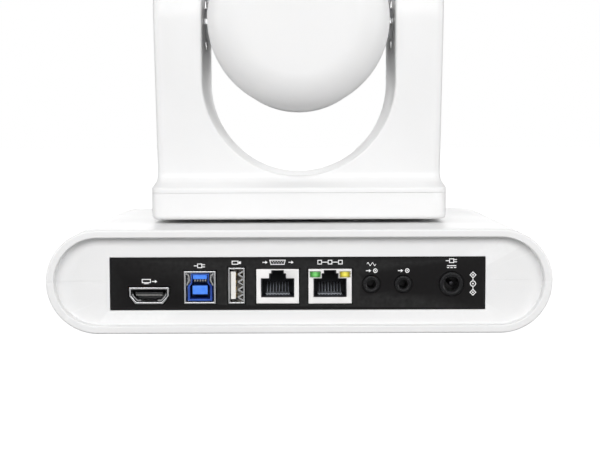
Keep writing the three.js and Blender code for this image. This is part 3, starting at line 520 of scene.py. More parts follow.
# A lit lens: the glow falls off from its middle with distance, under a faint grain in the resin.
def lampFinish(name, look):
    material, tree, shader = newMaterial(name)
    place = addNode(tree, "ShaderNodeTexCoord")
    distance = addNode(tree, "ShaderNodeVectorMath", {"operation": "DISTANCE"})
    distance.inputs[1].default_value = middleOf(look["node"]) * mm
    near = addNode(tree, "ShaderNodeMapRange", values={"From Min": look["reach"] * mm, "From Max": 0.25 * mm})
    grain = placeGroup(tree, grainGroup, {"Grain per metre": 1400, "Grain share": 0.5, "Patch per metre": 420})
    rim = tuple(0.35 * c for c in look["colour"])
    faint, bright = tuple(0.22 * c for c in look["glow"]), tuple(min(1, 1.5 * c + 0.25) for c in look["glow"])
    tree.links.new(place.outputs["Object"], distance.inputs[0])
    tree.links.new(distance.outputs["Value"], near.inputs["Value"])
    mixColours(tree, near.outputs["Result"], rim, look["colour"], shader.inputs["Base Color"])
    mixColours(tree, near.outputs["Result"], faint, bright, shader.inputs["Emission Color"])
    bumpFrom(tree, grain.outputs["Height"], 0.03, 0.4, shader)
    shader.inputs["Emission Strength"].default_value = look["strength"]
    shader.inputs["Roughness"].default_value = 0.2
    return material


# Dark glass: a thin colour that shifts over the coating, under a clear hard gloss.
def glassFinish(name, first, second, rough):
    material, tree, shader = newMaterial(name)
    grain = placeGroup(tree, grainGroup, {"Grain per metre": 900, "Grain share": 0.3, "Patch per metre": 45})
    mixColours(tree, grain.outputs["Tone"], first, second, shader.inputs["Base Color"])
    mapRange(tree, grain.outputs["Height"], rough, rough * 1.8, shader.inputs["Roughness"])
    shader.inputs["IOR"].default_value = 1.6
    shader.inputs["Coat Weight"].default_value = 0.6
    shader.inputs["Coat Roughness"].default_value = 0.03
    return material


# Each look's lighter edge colour goes on convex edges: partly rubbed wear, partly a painted highlight.
plasticLooks = {
    "whitePlastic": {"dark": (0.785, 0.784, 0.784), "light": (0.812, 0.811, 0.811), "wornAndLit": (0.87, 0.87, 0.87),
                     "grain": 2400, "share": 0.85, "rough": (0.36, 0.46), "depth": 0.012, "strength": 0.35,
                     "soft": 0.12},
    "blackPlastic": {"dark": (0.008, 0.008, 0.009), "light": (0.013, 0.013, 0.014), "wornAndLit": (0.05, 0.05, 0.05),
                     "grain": 2600, "share": 0.8, "rough": (0.24, 0.36), "depth": 0.015, "strength": 0.4},
    "panelBlack": {"dark": (0.0062, 0.0057, 0.006), "light": (0.0084, 0.0078, 0.0081),
                   "wornAndLit": (0.03, 0.03, 0.03), "grain": 3400, "share": 0.9, "rough": (0.52, 0.64),
                   "depth": 0.03, "strength": 0.6, "gloss": 0.1},
    "glossBlack": {"dark": (0.006, 0.006, 0.007), "light": (0.01, 0.01, 0.011), "wornAndLit": (0.04, 0.04, 0.04),
                   "grain": 2600, "share": 0.8, "rough": (0.2, 0.3), "depth": 0.008, "strength": 0.3,
                   "gloss": 0.35},
    "linerBlack": {"dark": (0.005, 0.006, 0.009), "light": (0.009, 0.01, 0.014), "wornAndLit": (0.03, 0.03, 0.035),
                   "grain": 2600, "share": 0.8, "rough": (0.4, 0.55), "depth": 0.012, "strength": 0.4,
                   "gloss": 0.3},
    "bluePlastic": {"dark": (0.002, 0.02, 0.17), "light": (0.004, 0.032, 0.26), "wornAndLit": (0.05, 0.15, 0.6),
                    "grain": 2600, "share": 0.7, "rough": (0.26, 0.36), "depth": 0.012, "strength": 0.4},
    # A lighter copy of the socket insert's blue: painted light on the front faces of its tongue and strip.
    "litBlue": {"dark": (0.02, 0.16, 0.86), "light": (0.035, 0.22, 0.95), "wornAndLit": (0.2, 0.45, 1.0),
                   "grain": 2600, "share": 0.7, "rough": (0.28, 0.4), "depth": 0.012, "strength": 0.4},
    "palePlastic": {"dark": (0.74, 0.72, 0.68), "light": (0.82, 0.80, 0.77), "wornAndLit": (0.9, 0.88, 0.84),
                    "grain": 2600, "share": 0.7, "rough": (0.35, 0.45), "depth": 0.012, "strength": 0.4},
    "gearPlastic": {"dark": (0.62, 0.59, 0.5), "light": (0.7, 0.67, 0.58), "wornAndLit": (0.8, 0.78, 0.7),
                    "grain": 1800, "share": 0.7, "rough": (0.38, 0.5), "depth": 0.02, "strength": 0.4},
    "rubber": {"dark": (0.02, 0.02, 0.021), "light": (0.035, 0.035, 0.036), "wornAndLit": (0.09, 0.09, 0.09),
               "grain": 1500, "share": 0.8, "rough": (0.75, 0.9), "depth": 0.05, "strength": 0.6},
    "ink": {"dark": (0.80, 0.80, 0.80), "light": (0.88, 0.88, 0.88), "wornAndLit": (0.9, 0.9, 0.9),
            "grain": 5000, "share": 0.9, "rough": (0.5, 0.6), "depth": 0.01, "strength": 0.3},
}
metalLooks = {
    "platedSteel": {"dark": (0.72, 0.73, 0.74), "light": (0.82, 0.82, 0.83), "rough": (0.12, 0.26),
                    "lines": 2600, "stretch": 0.06, "depth": 0.006},
    "framePlate": {"dark": (0.90, 0.89, 0.885), "light": (0.95, 0.94, 0.935), "rough": (0.52, 0.62),
                   "lines": 2200, "stretch": 0.08, "depth": 0.01},
    "sheetSteel": {"dark": (0.42, 0.44, 0.45), "light": (0.55, 0.56, 0.57), "rough": (0.3, 0.5),
                   "lines": 1500, "stretch": 0.03, "depth": 0.02},
    "brass": {"dark": (0.62, 0.43, 0.16), "light": (0.78, 0.57, 0.24), "rough": (0.2, 0.34),
              "lines": 2600, "stretch": 0.05, "depth": 0.01},
    "darkSteel": {"dark": (0.02, 0.02, 0.022), "light": (0.045, 0.045, 0.048), "rough": (0.22, 0.36),
                  "lines": 2600, "stretch": 0.1, "depth": 0.006},
    "contactTin": {"dark": (0.50, 0.50, 0.48), "light": (0.68, 0.67, 0.64), "rough": (0.28, 0.42),
                   "lines": 3000, "stretch": 0.2, "depth": 0.005},
    "contactWire": {"dark": (0.62, 0.66, 0.72), "light": (0.76, 0.8, 0.85), "rough": (0.4, 0.55),
                    "lines": 3000, "stretch": 0.2, "depth": 0.005},
}
lampLooks = {
    "greenLamp": {"colour": (0.1, 0.55, 0.09), "glow": (0.16, 0.62, 0.12), "strength": 0.5,
                  "node": "network_light_green", "reach": 1.5},
    "amberLamp": {"colour": (0.75, 0.62, 0.03), "glow": (0.75, 0.66, 0.03), "strength": 0.55,
                  "node": "network_light_amber", "reach": 1.7},
    "blueLamp": {"colour": (0.05, 0.3, 0.8), "glow": (0.1, 0.5, 1.0), "strength": 0.8,
                 "node": "status_light", "reach": 2.2},
}
finishes = {name: mouldedPlastic(name, look) for name, look in plasticLooks.items()}
finishes.update({name: workedMetal(name, look) for name, look in metalLooks.items()})
finishes.update({name: lampFinish(name, look) for name, look in lampLooks.items()})
finishes["board"] = boardFinish("board")
finishes["darkGlass"] = glassFinish("darkGlass", (0.006, 0.007, 0.009), (0.012, 0.012, 0.016), 0.04)
finishes["coatedGlass"] = glassFinish("coatedGlass", (0.02, 0.012, 0.09), (0.012, 0.05, 0.10), 0.03)
print("materials made:", len(finishes))


# Base shells: a stadium section carried from front to rear.
baseForm = {"frontRounding": 6, "rimEdge": 0.8, "rimWall": 3, "recessEdge": 0.5, "recessFillet": 0.4,
            "seamHalf": 0.012, "wall": 1.2, "edge": 0.06, "lip": 1.0, "windowGap": 0.25, "panelGap": 0.2,
            "footGap": 0.15, "screwGap": 0.25, "lampGap": 0.1, "spindleHole": 14,
            "arcSteps": 36, "runSteps": 30}


# Half of a stadium from its +X end over to its -X end: the line's middle point plus its outward normal.
def halfStadium(side):
    form = baseForm
    radius = (topHigh[2] - bottomLow[2]) / 2
    reach = topHigh[0] - radius
    first = math.asin(form["seamHalf"] / radius)
    angle = np.linspace(first, pi / 2, form["arcSteps"])
    run = np.linspace(reach, -reach, form["runSteps"])
    middle = np.concatenate([np.full(len(angle), reach), run[1:-1], np.full(len(angle), -reach)])
    angle = np.concatenate([angle, np.full(len(run) - 2, pi / 2), pi - angle[::-1]])
    normal = np.stack([np.cos(angle), side * np.sin(angle)], -1)
    return middle, normal, radius


# The matching half of a rectangle or stadium opening inside it, point for point.
def halfOpening(centreX, halfX, low, high, side, roundEnds):
    form = baseForm
    arc, run = form["arcSteps"], form["runSteps"]
    rim = (high if side > 0 else low) - baseMiddle
    start = side * form["seamHalf"]
    if roundEnds:
        angle = np.linspace(math.asin(abs(start / rim)), pi / 2, arc)
        endX, endZ = halfX - abs(rim) + abs(rim) * np.cos(angle), rim * np.sin(angle)
    else:
        endX, endZ = np.full(arc, halfX), np.linspace(start, rim, arc)
    innerRun = np.linspace(endX[-1], -endX[-1], run)[1:-1]
    x = np.concatenate([endX, innerRun, -endX[::-1]]) + centreX
    z = np.concatenate([endZ, np.full(len(innerRun), rim), endZ[::-1]]) + baseMiddle
    return x, z


def columnAt(x, z, y):
    return np.stack([x, np.full(len(x), float(y)), z], -1)[:, None]


# Point = middle + (radius - inset) * normal, for each (inset, y) of the profile. The end faces run in
# to the openings, point for point.
def baseShell(side):
    form = baseForm
    middle, normal, radius = halfStadium(side)
    front, rear = topLow[1], topHigh[1]
    corners = [(form["frontRounding"] + 0.6, front), (0, front), (0, rear), (form["rimWall"], rear),
               (form["rimWall"], rearFace), (form["rimWall"] + 1, rearFace)]
    radii = [0, form["frontRounding"], form["rimEdge"], form["recessEdge"], form["recessFillet"], 0]
    profile = refinedLine(roundedLine(corners, radii, 8), 12)
    inset, y = profile[:, 0], profile[:, 1]
    x = middle[:, None] + (radius - inset)[None] * normal[:, :1]
    z = baseMiddle + (radius - inset)[None] * normal[:, 1:]
    body = np.stack([x, np.broadcast_to(y, x.shape), z], -1)
    windowLow, windowHigh = lowHigh("front_window")
    gap = form["windowGap"]
    windowX, windowZ = halfOpening(0, windowHigh[0] + gap, windowLow[2] - gap, windowHigh[2] + gap, side, True)
    gap = form["panelGap"]
    panelX, panelZ = halfOpening((panelLow[0] + panelHigh[0]) / 2, (panelHigh[0] - panelLow[0]) / 2 + gap,
                                 panelLow[2] - gap, panelHigh[2] + gap, side, False)
    columns = [columnAt(windowX, windowZ, front + form["lip"]), columnAt(windowX, windowZ, front), body,
               columnAt(panelX, panelZ, rearFace), columnAt(panelX, panelZ, rearFace - form["lip"])]
    return gridShape(np.concatenate(columns, axis=1))


# Holes in the underside, each a little wider than the foot, screw or insert in it.
def baseHoles():
    form = baseForm
    gaps = {f"foot_{k}": form["footGap"] for k in range(1, 5)}
    gaps.update({f"base_screw_{k}": form["screwGap"] for k in range(1, 5)})
    gaps["tripod_insert"] = form["footGap"]
    holes = []
    for node, gap in gaps.items():
        low, high = lowHigh(node)
        x, y, _ = middleOf(node)
        holes.append(("z", (x, y, 0), (high[0] - low[0]) / 2 + gap, -1, 3.5))
    return holes


def makeBaseShells():
    form = baseForm
    lampX, _, lampZ = middleOf("status_light")
    lampRadius = lowHigh("status_light")[1][0] - lampX
    lampHole = ("y", (lampX, 0, lampZ), lampRadius + form["lampGap"], topLow[1] - 1, topLow[1] + 2)
    spindleHole = ("z", (0, 0, 0), form["spindleHole"], topHigh[2] - 3, topHigh[2] + 1)
    for side, node, holes in ((1, "base_top_shell", [spindleHole, lampHole]),
                              (-1, "base_bottom_shell", baseHoles() + [lampHole])):
        piece = newPiece(node + "_moulding", baseShell(side), inside=(0, 0, baseMiddle))
        addWall(piece, form["wall"])
        applyModifiers(piece)
        drill(piece, holes)
        addEdge(piece, form["edge"])
        addFlatNormals(piece)
        settle(piece, "base", finishes["whitePlastic"], [node])


makeBaseShells()
print("base shells made")


# Turntable tray: a rounded rectangle with its lower edge eased, closed below to the spindle.
trayForm = {"corner": 6, "lowerEdge": 1.6, "wall": 1.6, "spindle": 12.6, "edge": 0.08, "gap": 0.68}


def makeTray():
    form = trayForm
    halfX, halfY = trayHigh[0], trayHigh[1]
    top = yokeLow[2] - form["gap"]
    profile = roundedLine([(0, top), (0, trayLow[2]), (3, trayLow[2])], [0, form["lowerEdge"], 0], 7)
    outline = roundedLine(oblong(halfX, halfY), form["corner"], 12, closed=True)
    outline = refinedLine(outline, 6, closed=True)
    rings = ringsWithin(outline, np.array([halfX, halfY]) - form["corner"], profile[:, 0])
    level = np.broadcast_to(profile[:, 1], rings.shape[:2])
    wall = np.concatenate([rings, level[..., None]], -1)
    angle = np.arctan2(outline[:, 1], outline[:, 0])
    hole = np.stack([np.cos(angle), np.sin(angle)], -1) * form["spindle"]
    hole = np.concatenate([hole, np.full((len(hole), 1), trayLow[2])], -1)[:, None]
    points = np.concatenate([wall, hole], axis=1)
    piece = newPiece("turntable_tray_moulding", gridShape(points, wrapRows=True),
                     inside=(0, 0, (trayLow[2] + trayHigh[2]) / 2))
    addWall(piece, form["wall"])
    addEdge(piece, form["edge"])
    addFlatNormals(piece)
    settle(piece, "turntable", finishes["whitePlastic"], ["turntable_tray"])


makeTray()


# Yoke: a fork on a sloping plinth, in a rear shell and a front cover.
yokeForm = {"opening": 38.5, "outerHalf": 56.6, "flare": 0.021, "underOpening": 1.5, "plinthEdge": 1.25,
            "plinthRise": 3.2, "plinthCorner": 6, "bendRounding": 1.0, "fillet": 5.0, "tunnelEdge": 0.9,
            "outerEdge": 3, "topInner": 3.2, "topOuter": 6, "coverGap": 0.1, "coverRise": 0.45,
            "wall": 0.85, "edge": 0.1, "drop": 0.6, "bearingGap": 0.2,
            "turnSteps": 44, "overSteps": 26}
forkHalf = -coverLow[1]
plinthTop = yokeLow[2] + yokeForm["plinthEdge"] + yokeForm["plinthRise"]
openingZ = plinthTop + yokeForm["underOpening"] + yokeForm["opening"]


# How far the plinth stands out behind the fork: level, then sloping in, let into the fork by a fillet.
def plinthProfile():
    form = yokeForm
    run = trayHigh[1] - forkHalf
    corners = [(run, yokeLow[2] - form["drop"]), (run, yokeLow[2] + form["plinthEdge"]),
               (0, plinthTop), (0, plinthTop + 9)]
    return roundedLine(corners, [0, form["bendRounding"], form["fillet"], 0], 9)


# The same, read off at any height.
def skirt(z):
    profile = plinthProfile()
    return np.interp(z, profile[:, 1], profile[:, 0])


# The fork leans out: x grows with height by the flare, from nothing at the tunnel to all of it outside.
def leanOut(points):
    form = yokeForm
    share = np.clip((points[..., 0] - form["opening"]) / (form["outerHalf"] - form["opening"]), 0, 1)
    points[..., 0] += share * form["flare"] * np.maximum(points[..., 2] - plinthTop, 0)
    return points


# Rows run along the opening from its lowest point, up the arm, then over its top by turning about the
# tilt axis: y = depth cos(lift), z = height + depth sin(lift). The tunnel grid goes from the middle of
# the tunnel wall round its edge; the outer grid goes on over the face, round the corner and down the side.
def forkQuarter():
    form = yokeForm
    radius = form["opening"]
    turn = np.linspace(0, pi / 2, form["turnSteps"])
    rise = np.linspace(openingZ, tiltZ, 8)[1:]
    over = np.linspace(0, pi / 2, form["overSteps"])[1:]
    turn = np.concatenate([turn, np.full(len(rise) + len(over), pi / 2)])[:, None]
    height = np.concatenate([np.full(form["turnSteps"], openingZ), rise, np.full(len(over), tiltZ)])[:, None]
    lift = np.concatenate([np.zeros(len(turn) - len(over)), over])[:, None]
    beta = np.linspace(0, pi / 2, 9)[None]
    inner = form["tunnelEdge"] + form["topInner"] * np.sin(lift) ** 2
    wallDepth = (forkHalf - inner) * np.linspace(0, 1, 6)[None, :-1]
    reach = np.concatenate([radius + 0 * wallDepth, radius + inner * (1 - np.cos(beta))], 1)
    depth = np.concatenate([wallDepth, forkHalf - inner * (1 - np.sin(beta))], 1)
    x, z = reach * np.sin(turn), height - reach * np.cos(turn)
    depth = depth * (1 + skirt(z) / forkHalf)
    tunnel = np.stack([x, depth * np.cos(lift), z + depth * np.sin(lift)], -1)
    # the outer grid starts where the tunnel grid ends, with the plinth's levels put before it
    levels = plinthProfile()[:, 1]
    levels = levels[levels < z[0, -1] - 0.05][:, None]
    z = np.concatenate([levels, z[:, -1:]])
    startX = np.concatenate([0 * levels, x[:, -1:]])
    lift = np.concatenate([0 * levels, lift])
    out = skirt(z) / (trayHigh[1] - forkHalf)
    endX = form["outerHalf"] + (trayHigh[0] - form["outerHalf"]) * out
    corner = (form["outerEdge"] + (form["plinthCorner"] - form["outerEdge"]) * out
              + form["topOuter"] * np.sin(lift) ** 2)
    deep = forkHalf + skirt(z)
    faceX = startX + (endX - corner - startX) * np.linspace(0, 1, 12)[None, :-1]
    x = np.concatenate([faceX, endX - corner * (1 - np.sin(beta)), endX + np.zeros((1, 5))], 1)
    depth = np.concatenate([deep + 0 * faceX, deep - corner * (1 - np.cos(beta)),
                            (deep - corner) * np.linspace(1, 0, 6)[None, 1:]], 1)
    z = z + depth * np.sin(lift)
    outer = np.stack([x, depth * np.cos(lift), z], -1)
    return leanOut(tunnel), leanOut(outer)


# Four mirrored quarters make one sheet, open below.
def forkSheet():
    shapes = []
    for quarter in forkQuarter():
        for u, v in ((1, 1), (1, -1), (-1, 1), (-1, -1)):
            points, faces = gridShape(quarter * np.array([u, v, 1]))
            shapes.append((points, faces if u * v > 0 else [face[::-1] for face in faces]))
    return newPiece("yoke_whole", joinShapes(shapes), asDrawn=True)


# The part of the sheet on one side of the seam between the rear shell and the cover.
def splitYoke(whole, name, isCover):
    form = yokeForm
    gap = form["coverGap"] * (-1 if isCover else 1)
    seamY, seamZ = coverHigh[1] + gap, plinthTop + form["coverRise"] - gap
    mesh = whole.data.copy()
    mesh.name = name
    work = bmesh.new()
    work.from_mesh(mesh)
    for place, normal in (((0, seamY * mm, 0), (0, 1, 0)), ((0, 0, seamZ * mm), (0, 0, 1))):
        everything = work.verts[:] + work.edges[:] + work.faces[:]
        bmesh.ops.bisect_plane(work, geom=everything, plane_co=place, plane_no=normal, dist=1e-7)
    centres = [(face, face.calc_center_median() / mm) for face in work.faces]
    dropped = [face for face, c in centres if (c.y < seamY and c.z > seamZ) != isCover]
    bmesh.ops.delete(work, geom=dropped, context="FACES")
    work.to_mesh(mesh)
    work.free()
    shadeSmooth(mesh, smoothUnder)
    piece = placeObject(name, mesh)
    addWall(piece, form["wall"], even=False)
    return piece


def makeYoke():
    form = yokeForm
    whole = forkSheet()
    bearingLow, bearingHigh = lowHigh("tilt_bearing_right")
    radius = (bearingHigh[1] - bearingLow[1]) / 2 + form["bearingGap"]
    rear = splitYoke(whole, "yoke_rear_shell_moulding", False)
    applyModifiers(rear)
    drill(rear, [("x", (0, 0, tiltZ), radius, side * (form["opening"] - 1), side * (form["opening"] + 2))
                 for side in (-1, 1)])
    cover = splitYoke(whole, "yoke_front_cover_moulding", True)
    for piece, node in ((rear, "yoke_rear_shell"), (cover, "yoke_front_cover")):
        addEdge(piece, form["edge"])
        addFlatNormals(piece)
        settle(piece, "turntable", finishes["whitePlastic"], [node])
    bpy.data.objects.remove(whole)


makeYoke()
print("tray and yoke made")


# Head: shells, bezel, window and lens turned round the barrel's axis.
headForm = {"wall": 2.2, "frontRounding": 8, "rearRounding": 14, "seamEdge": 0.25, "innerEdge": 0.2,
            "throatEdge": 0.5, "bezelGap": 0.3, "shaft": 7, "shaftGap": 0.2, "holeEdge": 0.15}


# Each shell is one closed profile of (radius, y): its outside, its seam or throat edge, and its inside.
def makeHead():
    form = headForm
    centre = (0, 0, tiltZ)
    rearLow, rearHigh = lowHigh("head_rear_shell")
    frontLow, frontHigh = lowHigh("head_front_shell")
    radius, wall = rearHigh[0], form["wall"]
    inner = radius - wall
    throat = lowHigh("lens_bezel")[1][0] + form["bezelGap"]
    corners = [(0, rearHigh[1]), (radius, rearHigh[1]), (radius, rearLow[1]), (inner, rearLow[1]),
               (inner, rearHigh[1] - wall), (0, rearHigh[1] - wall)]
    radii = [0, form["rearRounding"], form["seamEdge"], form["innerEdge"], form["rearRounding"] - wall, 0]
    rear = turnedShape(refinedLine(roundedLine(corners, radii, 12), 6), "y", centre, 128)
    corners = [(radius, frontHigh[1]), (radius, frontLow[1]), (throat, frontLow[1]),
               (throat, frontLow[1] + wall), (inner, frontLow[1] + wall), (inner, frontHigh[1])]
    radii = [form["seamEdge"], form["frontRounding"], form["throatEdge"], form["innerEdge"],
             form["frontRounding"] - wall, form["innerEdge"]]
    front = roundedLine(corners, radii, 12, closed=True)
    front = turnedShape(refinedLine(front, 6, closed=True), "y", centre, 128, closed=True)
    for node, shape in (("head_rear_shell", rear), ("head_front_shell", front)):
        piece = newPiece(node + "_moulding", shape)
        if shape is rear:
            bore = form["shaft"] + form["shaftGap"]
            drill(piece, [("x", centre, bore, side * (radius - 6), side * (radius + 2)) for side in (-1, 1)])
            addEdge(piece, form["holeEdge"])
        addFlatNormals(piece)
        settle(piece, "head", finishes["whitePlastic"], [node])


bezelForm = {"width": 8, "rings": 3, "ringDepth": 0.18, "lip": 1.5, "chamfer": 2, "floor": 2.5}


# The bezel's dish: a line from the face down to the throat with fine ring steps in it.
def makeBezel():
    form = bezelForm
    low, high = lowHigh("lens_bezel")
    outer, face, back = high[0], low[1], high[1]
    throat = outer + headForm["bezelGap"] - form["width"]
    mouth = outer - form["lip"]
    share = np.linspace(0, 1, 40)
    dish = np.stack([mouth + (throat - mouth) * share,
                     face + (back - face - form["floor"]) * share ** 0.8
                     + form["ringDepth"] * np.abs(np.sin(share * pi * form["rings"])) ** 6], -1)
    corners = [(throat, back), (outer - form["chamfer"], back), (outer, face + form["chamfer"]),
               (outer, face), (mouth, face)]
    rim = roundedLine(corners, [0, 0.3, 0.3, 0.4, 0], 6)
    shape = turnedShape(np.concatenate([dish, rim[:-1]]), "y", (0, 0, tiltZ), 128, closed=True)
    piece = newPiece("lens_bezel_ring", shape)
    addFlatNormals(piece)
    settle(piece, "head", finishes["blackPlastic"], ["lens_bezel"])


glassForm = {"windowEdge": 0.25, "crown": 2.5, "lensEdge": 0.3}


# The window is a flat disc. The lens's face is a crown: depth grows with the square of the radius.
def makeGlasses():
    form = glassForm
    centre = (0, 0, tiltZ)
    low, high = lowHigh("lens_window")
    window = roundedLine([(0, low[1]), (high[0], low[1]), (high[0], high[1]), (0, high[1])],
                         [0, form["windowEdge"], form["windowEdge"], 0], 5)
    piece = newPiece("lens_window_glass", turnedShape(window, "y", centre, 96))
    settle(piece, "head", finishes["darkGlass"], ["lens_window"])
    low, high = lowHigh("front_lens")
    rim, shoulder = high[0], low[1] + form["crown"]
    share = np.linspace(0, 1, 30)
    crown = np.stack([rim * share, low[1] + form["crown"] * share ** 2], -1)
    side = roundedLine([(rim, shoulder), (rim, high[1]), (0, high[1])], [0, form["lensEdge"], 0], 5)
    piece = newPiece("front_lens_glass", turnedShape(np.concatenate([crown, side[1:]]), "y", centre, 96))
    settle(piece, "head", finishes["coatedGlass"], ["front_lens"])


makeHead()
makeBezel()
makeGlasses()
print("head made")


# Base fittings: front window, status light, feet, screws, tripod insert.
windowForm = {"frontEdge": 0.5, "backEdge": 0.3, "lampDome": 0.35}


def makeFrontWindow():
    form = windowForm
    low, high = lowHigh("front_window")
    radius = (high[2] - low[2]) / 2
    outline = roundedLine(oblong(high[0], radius), radius - 0.01, 20, closed=True)
    profile = roundedLine([(radius * 0.6, low[1]), (0, low[1]), (0, high[1]), (radius * 0.6, high[1])],
                          [0, form["frontEdge"], form["backEdge"], 0], 5)
    rings = ringsWithin(outline, np.array([high[0] - radius, 0.0]), profile[:, 0])
    level = np.broadcast_to(profile[:, 1], rings.shape[:2])
    points = np.stack([rings[..., 0], level, rings[..., 1] + baseMiddle], -1)
    piece = newPiece("front_window_lens", gridShape(points.transpose(1, 0, 2), wrapCols=True, caps=True))
    addFlatNormals(piece)
    settle(piece, "base", finishes["darkGlass"], ["front_window"])


# A dome whose height falls with the cube of the radius, on a short rod.
def makeStatusLight():
    low, high = lowHigh("status_light")
    x, _, z = middleOf("status_light")
    radius = high[0] - x
    share = np.linspace(0, 1, 10)
    dome = np.stack([radius * share, low[1] + windowForm["lampDome"] * share ** 3], -1)
    body = np.concatenate([dome, [(radius, high[1]), (0, high[1])]])
    piece = newPiece("status_light_lens", turnedShape(body, "y", (x, 0, z), 40))
    settle(piece, "base", finishes["blueLamp"], ["status_light"])


footForm = {"edge": 0.5, "grooves": 3, "grooveDepth": 0.12}


# A foot's underside: level rings, each groove a raised cosine of the radius.
def makeFeet():
    form = footForm
    for k in range(1, 5):
        low, high = lowHigh(f"foot_{k}")
        x, y, _ = middleOf(f"foot_{k}")
        radius = (high[0] - low[0]) / 2
        r = np.linspace(0, radius - form["edge"], 40)
        wave = np.maximum(0, np.cos(r / radius * 2 * pi * form["grooves"])) ** 4
        under = np.stack([r, low[2] + form["grooveDepth"] * wave * (r > 1)], -1)
        corners = [(radius - form["edge"], low[2]), (radius, low[2]), (radius, high[2]), (0, high[2])]
        edge = roundedLine(corners, [0, form["edge"] * 0.98, 0.2, 0], 5)
        piece = newPiece(f"foot_{k}_pad", turnedShape(np.concatenate([under, edge[1:]]), "z", (x, y, 0), 64))
        settle(piece, "base", finishes["rubber"], [f"foot_{k}"])


screwForm = {"shaft": 1.5, "head": 2, "dome": 0.35, "rim": 0.25, "crossWidth": 0.42, "crossReach": 1.9,
             "crossDepth": 0.9}


# A screw head's face: a shallow dome, sunk where the point lies within half a width of either arm.
def screwHead(low, high, centre):
    form = screwForm
    radius = (high[0] - low[0]) / 2
    headTop = low[2] + form["head"]
    r = np.linspace(0, 1, 28) ** 0.8 * (radius - form["rim"])
    angle = np.linspace(0, 2 * pi, 96, endpoint=False)
    x, y = r[None] * np.cos(angle)[:, None], r[None] * np.sin(angle)[:, None]
    across = np.minimum(np.abs(x), np.abs(y))
    along = np.maximum(np.abs(x), np.abs(y))
    sink = np.clip((form["crossWidth"] - across) / 0.12, 0, 1)
    sink = sink * np.clip((form["crossReach"] - along) / 0.2, 0, 1)
    z = low[2] + form["dome"] * (r[None] / radius) ** 2 + form["crossDepth"] * sink
    face = np.stack([x, y, z], -1) + np.array([centre[0], centre[1], 0])
    corners = [(radius - form["rim"], low[2] + form["dome"]), (radius, low[2] + form["dome"] + 0.2),
               (radius, headTop), (form["shaft"], headTop), (form["shaft"], high[2]), (0, high[2])]
    side = roundedLine(corners, [0, 0.15, 0.1, 0, 0.2, 0], 3)[1:]
    ring = np.stack([side[None, :, 0] * np.cos(angle)[:, None] + centre[0],
                     side[None, :, 0] * np.sin(angle)[:, None] + centre[1],
                     np.broadcast_to(side[:, 1], (len(angle), len(side)))], -1)
    return gridShape(np.concatenate([face, ring], 1), wrapRows=True)


def makeScrews():
    for k in range(1, 5):
        low, high = lowHigh(f"base_screw_{k}")
        shape = screwHead(low, high, middleOf(f"base_screw_{k}"))
        piece = newPiece(f"base_screw_{k}_turned", shape, smoothAngle=40)
        settle(piece, "base", finishes["sheetSteel"], [f"base_screw_{k}"])


threadForm = {"bore": 3.2, "pitch": 1.27, "depth": 0.3, "knurls": 36, "knurlDepth": 0.12, "edge": 0.2}


# The insert: a bore whose radius follows a triangle wave of height less turn, in a knurled ring.
def makeTripodInsert():
    form = threadForm
    low, high = lowHigh("tripod_insert")
    outer, edge = high[0], form["edge"]
    mouth = form["bore"] + form["depth"] + edge
    angle = np.linspace(0, 2 * pi, 144, endpoint=False)[:, None]
    height = np.linspace(low[2] + edge, high[2] - edge, 36)[None]
    phase = (height / form["pitch"] - angle / (2 * pi)) % 1
    bore = form["bore"] + form["depth"] * (1 - np.abs(2 * phase - 1))
    bore, height = np.broadcast_arrays(bore, height)
    knurl = outer - form["knurlDepth"] * (0.5 + 0.5 * np.cos(angle * form["knurls"]))
    rims = [(knurl * 0 + mouth, low[2]), (knurl * 0 + outer - edge, low[2]), (knurl, low[2] + edge),
            (knurl, high[2] - edge), (knurl * 0 + outer - edge, high[2]), (knurl * 0 + mouth, high[2])]
    radius = np.concatenate([rim for rim, _ in rims] + [bore[:, ::-1]], 1)
    level = np.concatenate([knurl * 0 + z for _, z in rims] + [height[:, ::-1]], 1)
    points = np.stack([radius * np.cos(angle), radius * np.sin(angle), level], -1)
    piece = newPiece("tripod_insert_threaded", gridShape(points, wrapRows=True, wrapCols=True))
    settle(piece, "base", finishes["brass"], ["tripod_insert"])


makeFrontWindow()
makeStatusLight()
makeFeet()
makeScrews()
makeTripodInsert()
print("fittings made")


# Rear panel and sockets.
# Drawn from a node's own shape: new name, width and steps of its eased edges, slot and finish.
easedForm = {
    "rear_io_panel": ("rear_io_panel_plate", 0.16, 2, "panel_black", "panelBlack"),
    "video_socket_shell": ("video_socket_frame", 0.22, 3, "plated_steel", "platedSteel"),
    "video_socket_tongue": ("video_socket_blade", 0.12, 3, "black_plastic", "blackPlastic"),
    "square_data_socket_shell": ("square_data_socket_frame", 0.22, 3, "plated_steel", "platedSteel"),
    "square_data_socket_insert": ("square_data_socket_core", 0.12, 3, "blue_plastic", "bluePlastic"),
    "flat_data_socket_shell": ("flat_data_socket_frame", 0.2, 3, "plated_steel", "platedSteel"),
    "flat_data_socket_tongue": ("flat_data_socket_blade", 0.12, 3, "pale_plastic", "palePlastic"),
    "serial_jack_shell": ("serial_jack_frame", 0.25, 3, "plated_steel", "framePlate"),
    "network_jack_shell": ("network_jack_frame", 0.1, 3, "plated_steel", "framePlate"),
    "network_light_green": ("network_light_green_lens", 0.25, 3, "green_light", "greenLamp"),
    "network_light_amber": ("network_light_amber_lens", 0.25, 3, "amber_light", "amberLamp"),
}
openFaced = ["network_jack_shell"]    # its face has three openings, so its triangles aren't joined


def makeEasedNodes():
    for node, (name, width, segments, slot, finish) in easedForm.items():
        piece = easedCopy(node, name, width, segments, joinFaces=node not in openFaced)
        settle(piece, "base", finishes[finish], [node])


def addDetail(name, shape, finish, edge=0, nodes=()):
    piece = newPiece(name, shape)
    if edge:
        addEdge(piece, edge)
    return settle(piece, "base", finishes[finish], nodes)


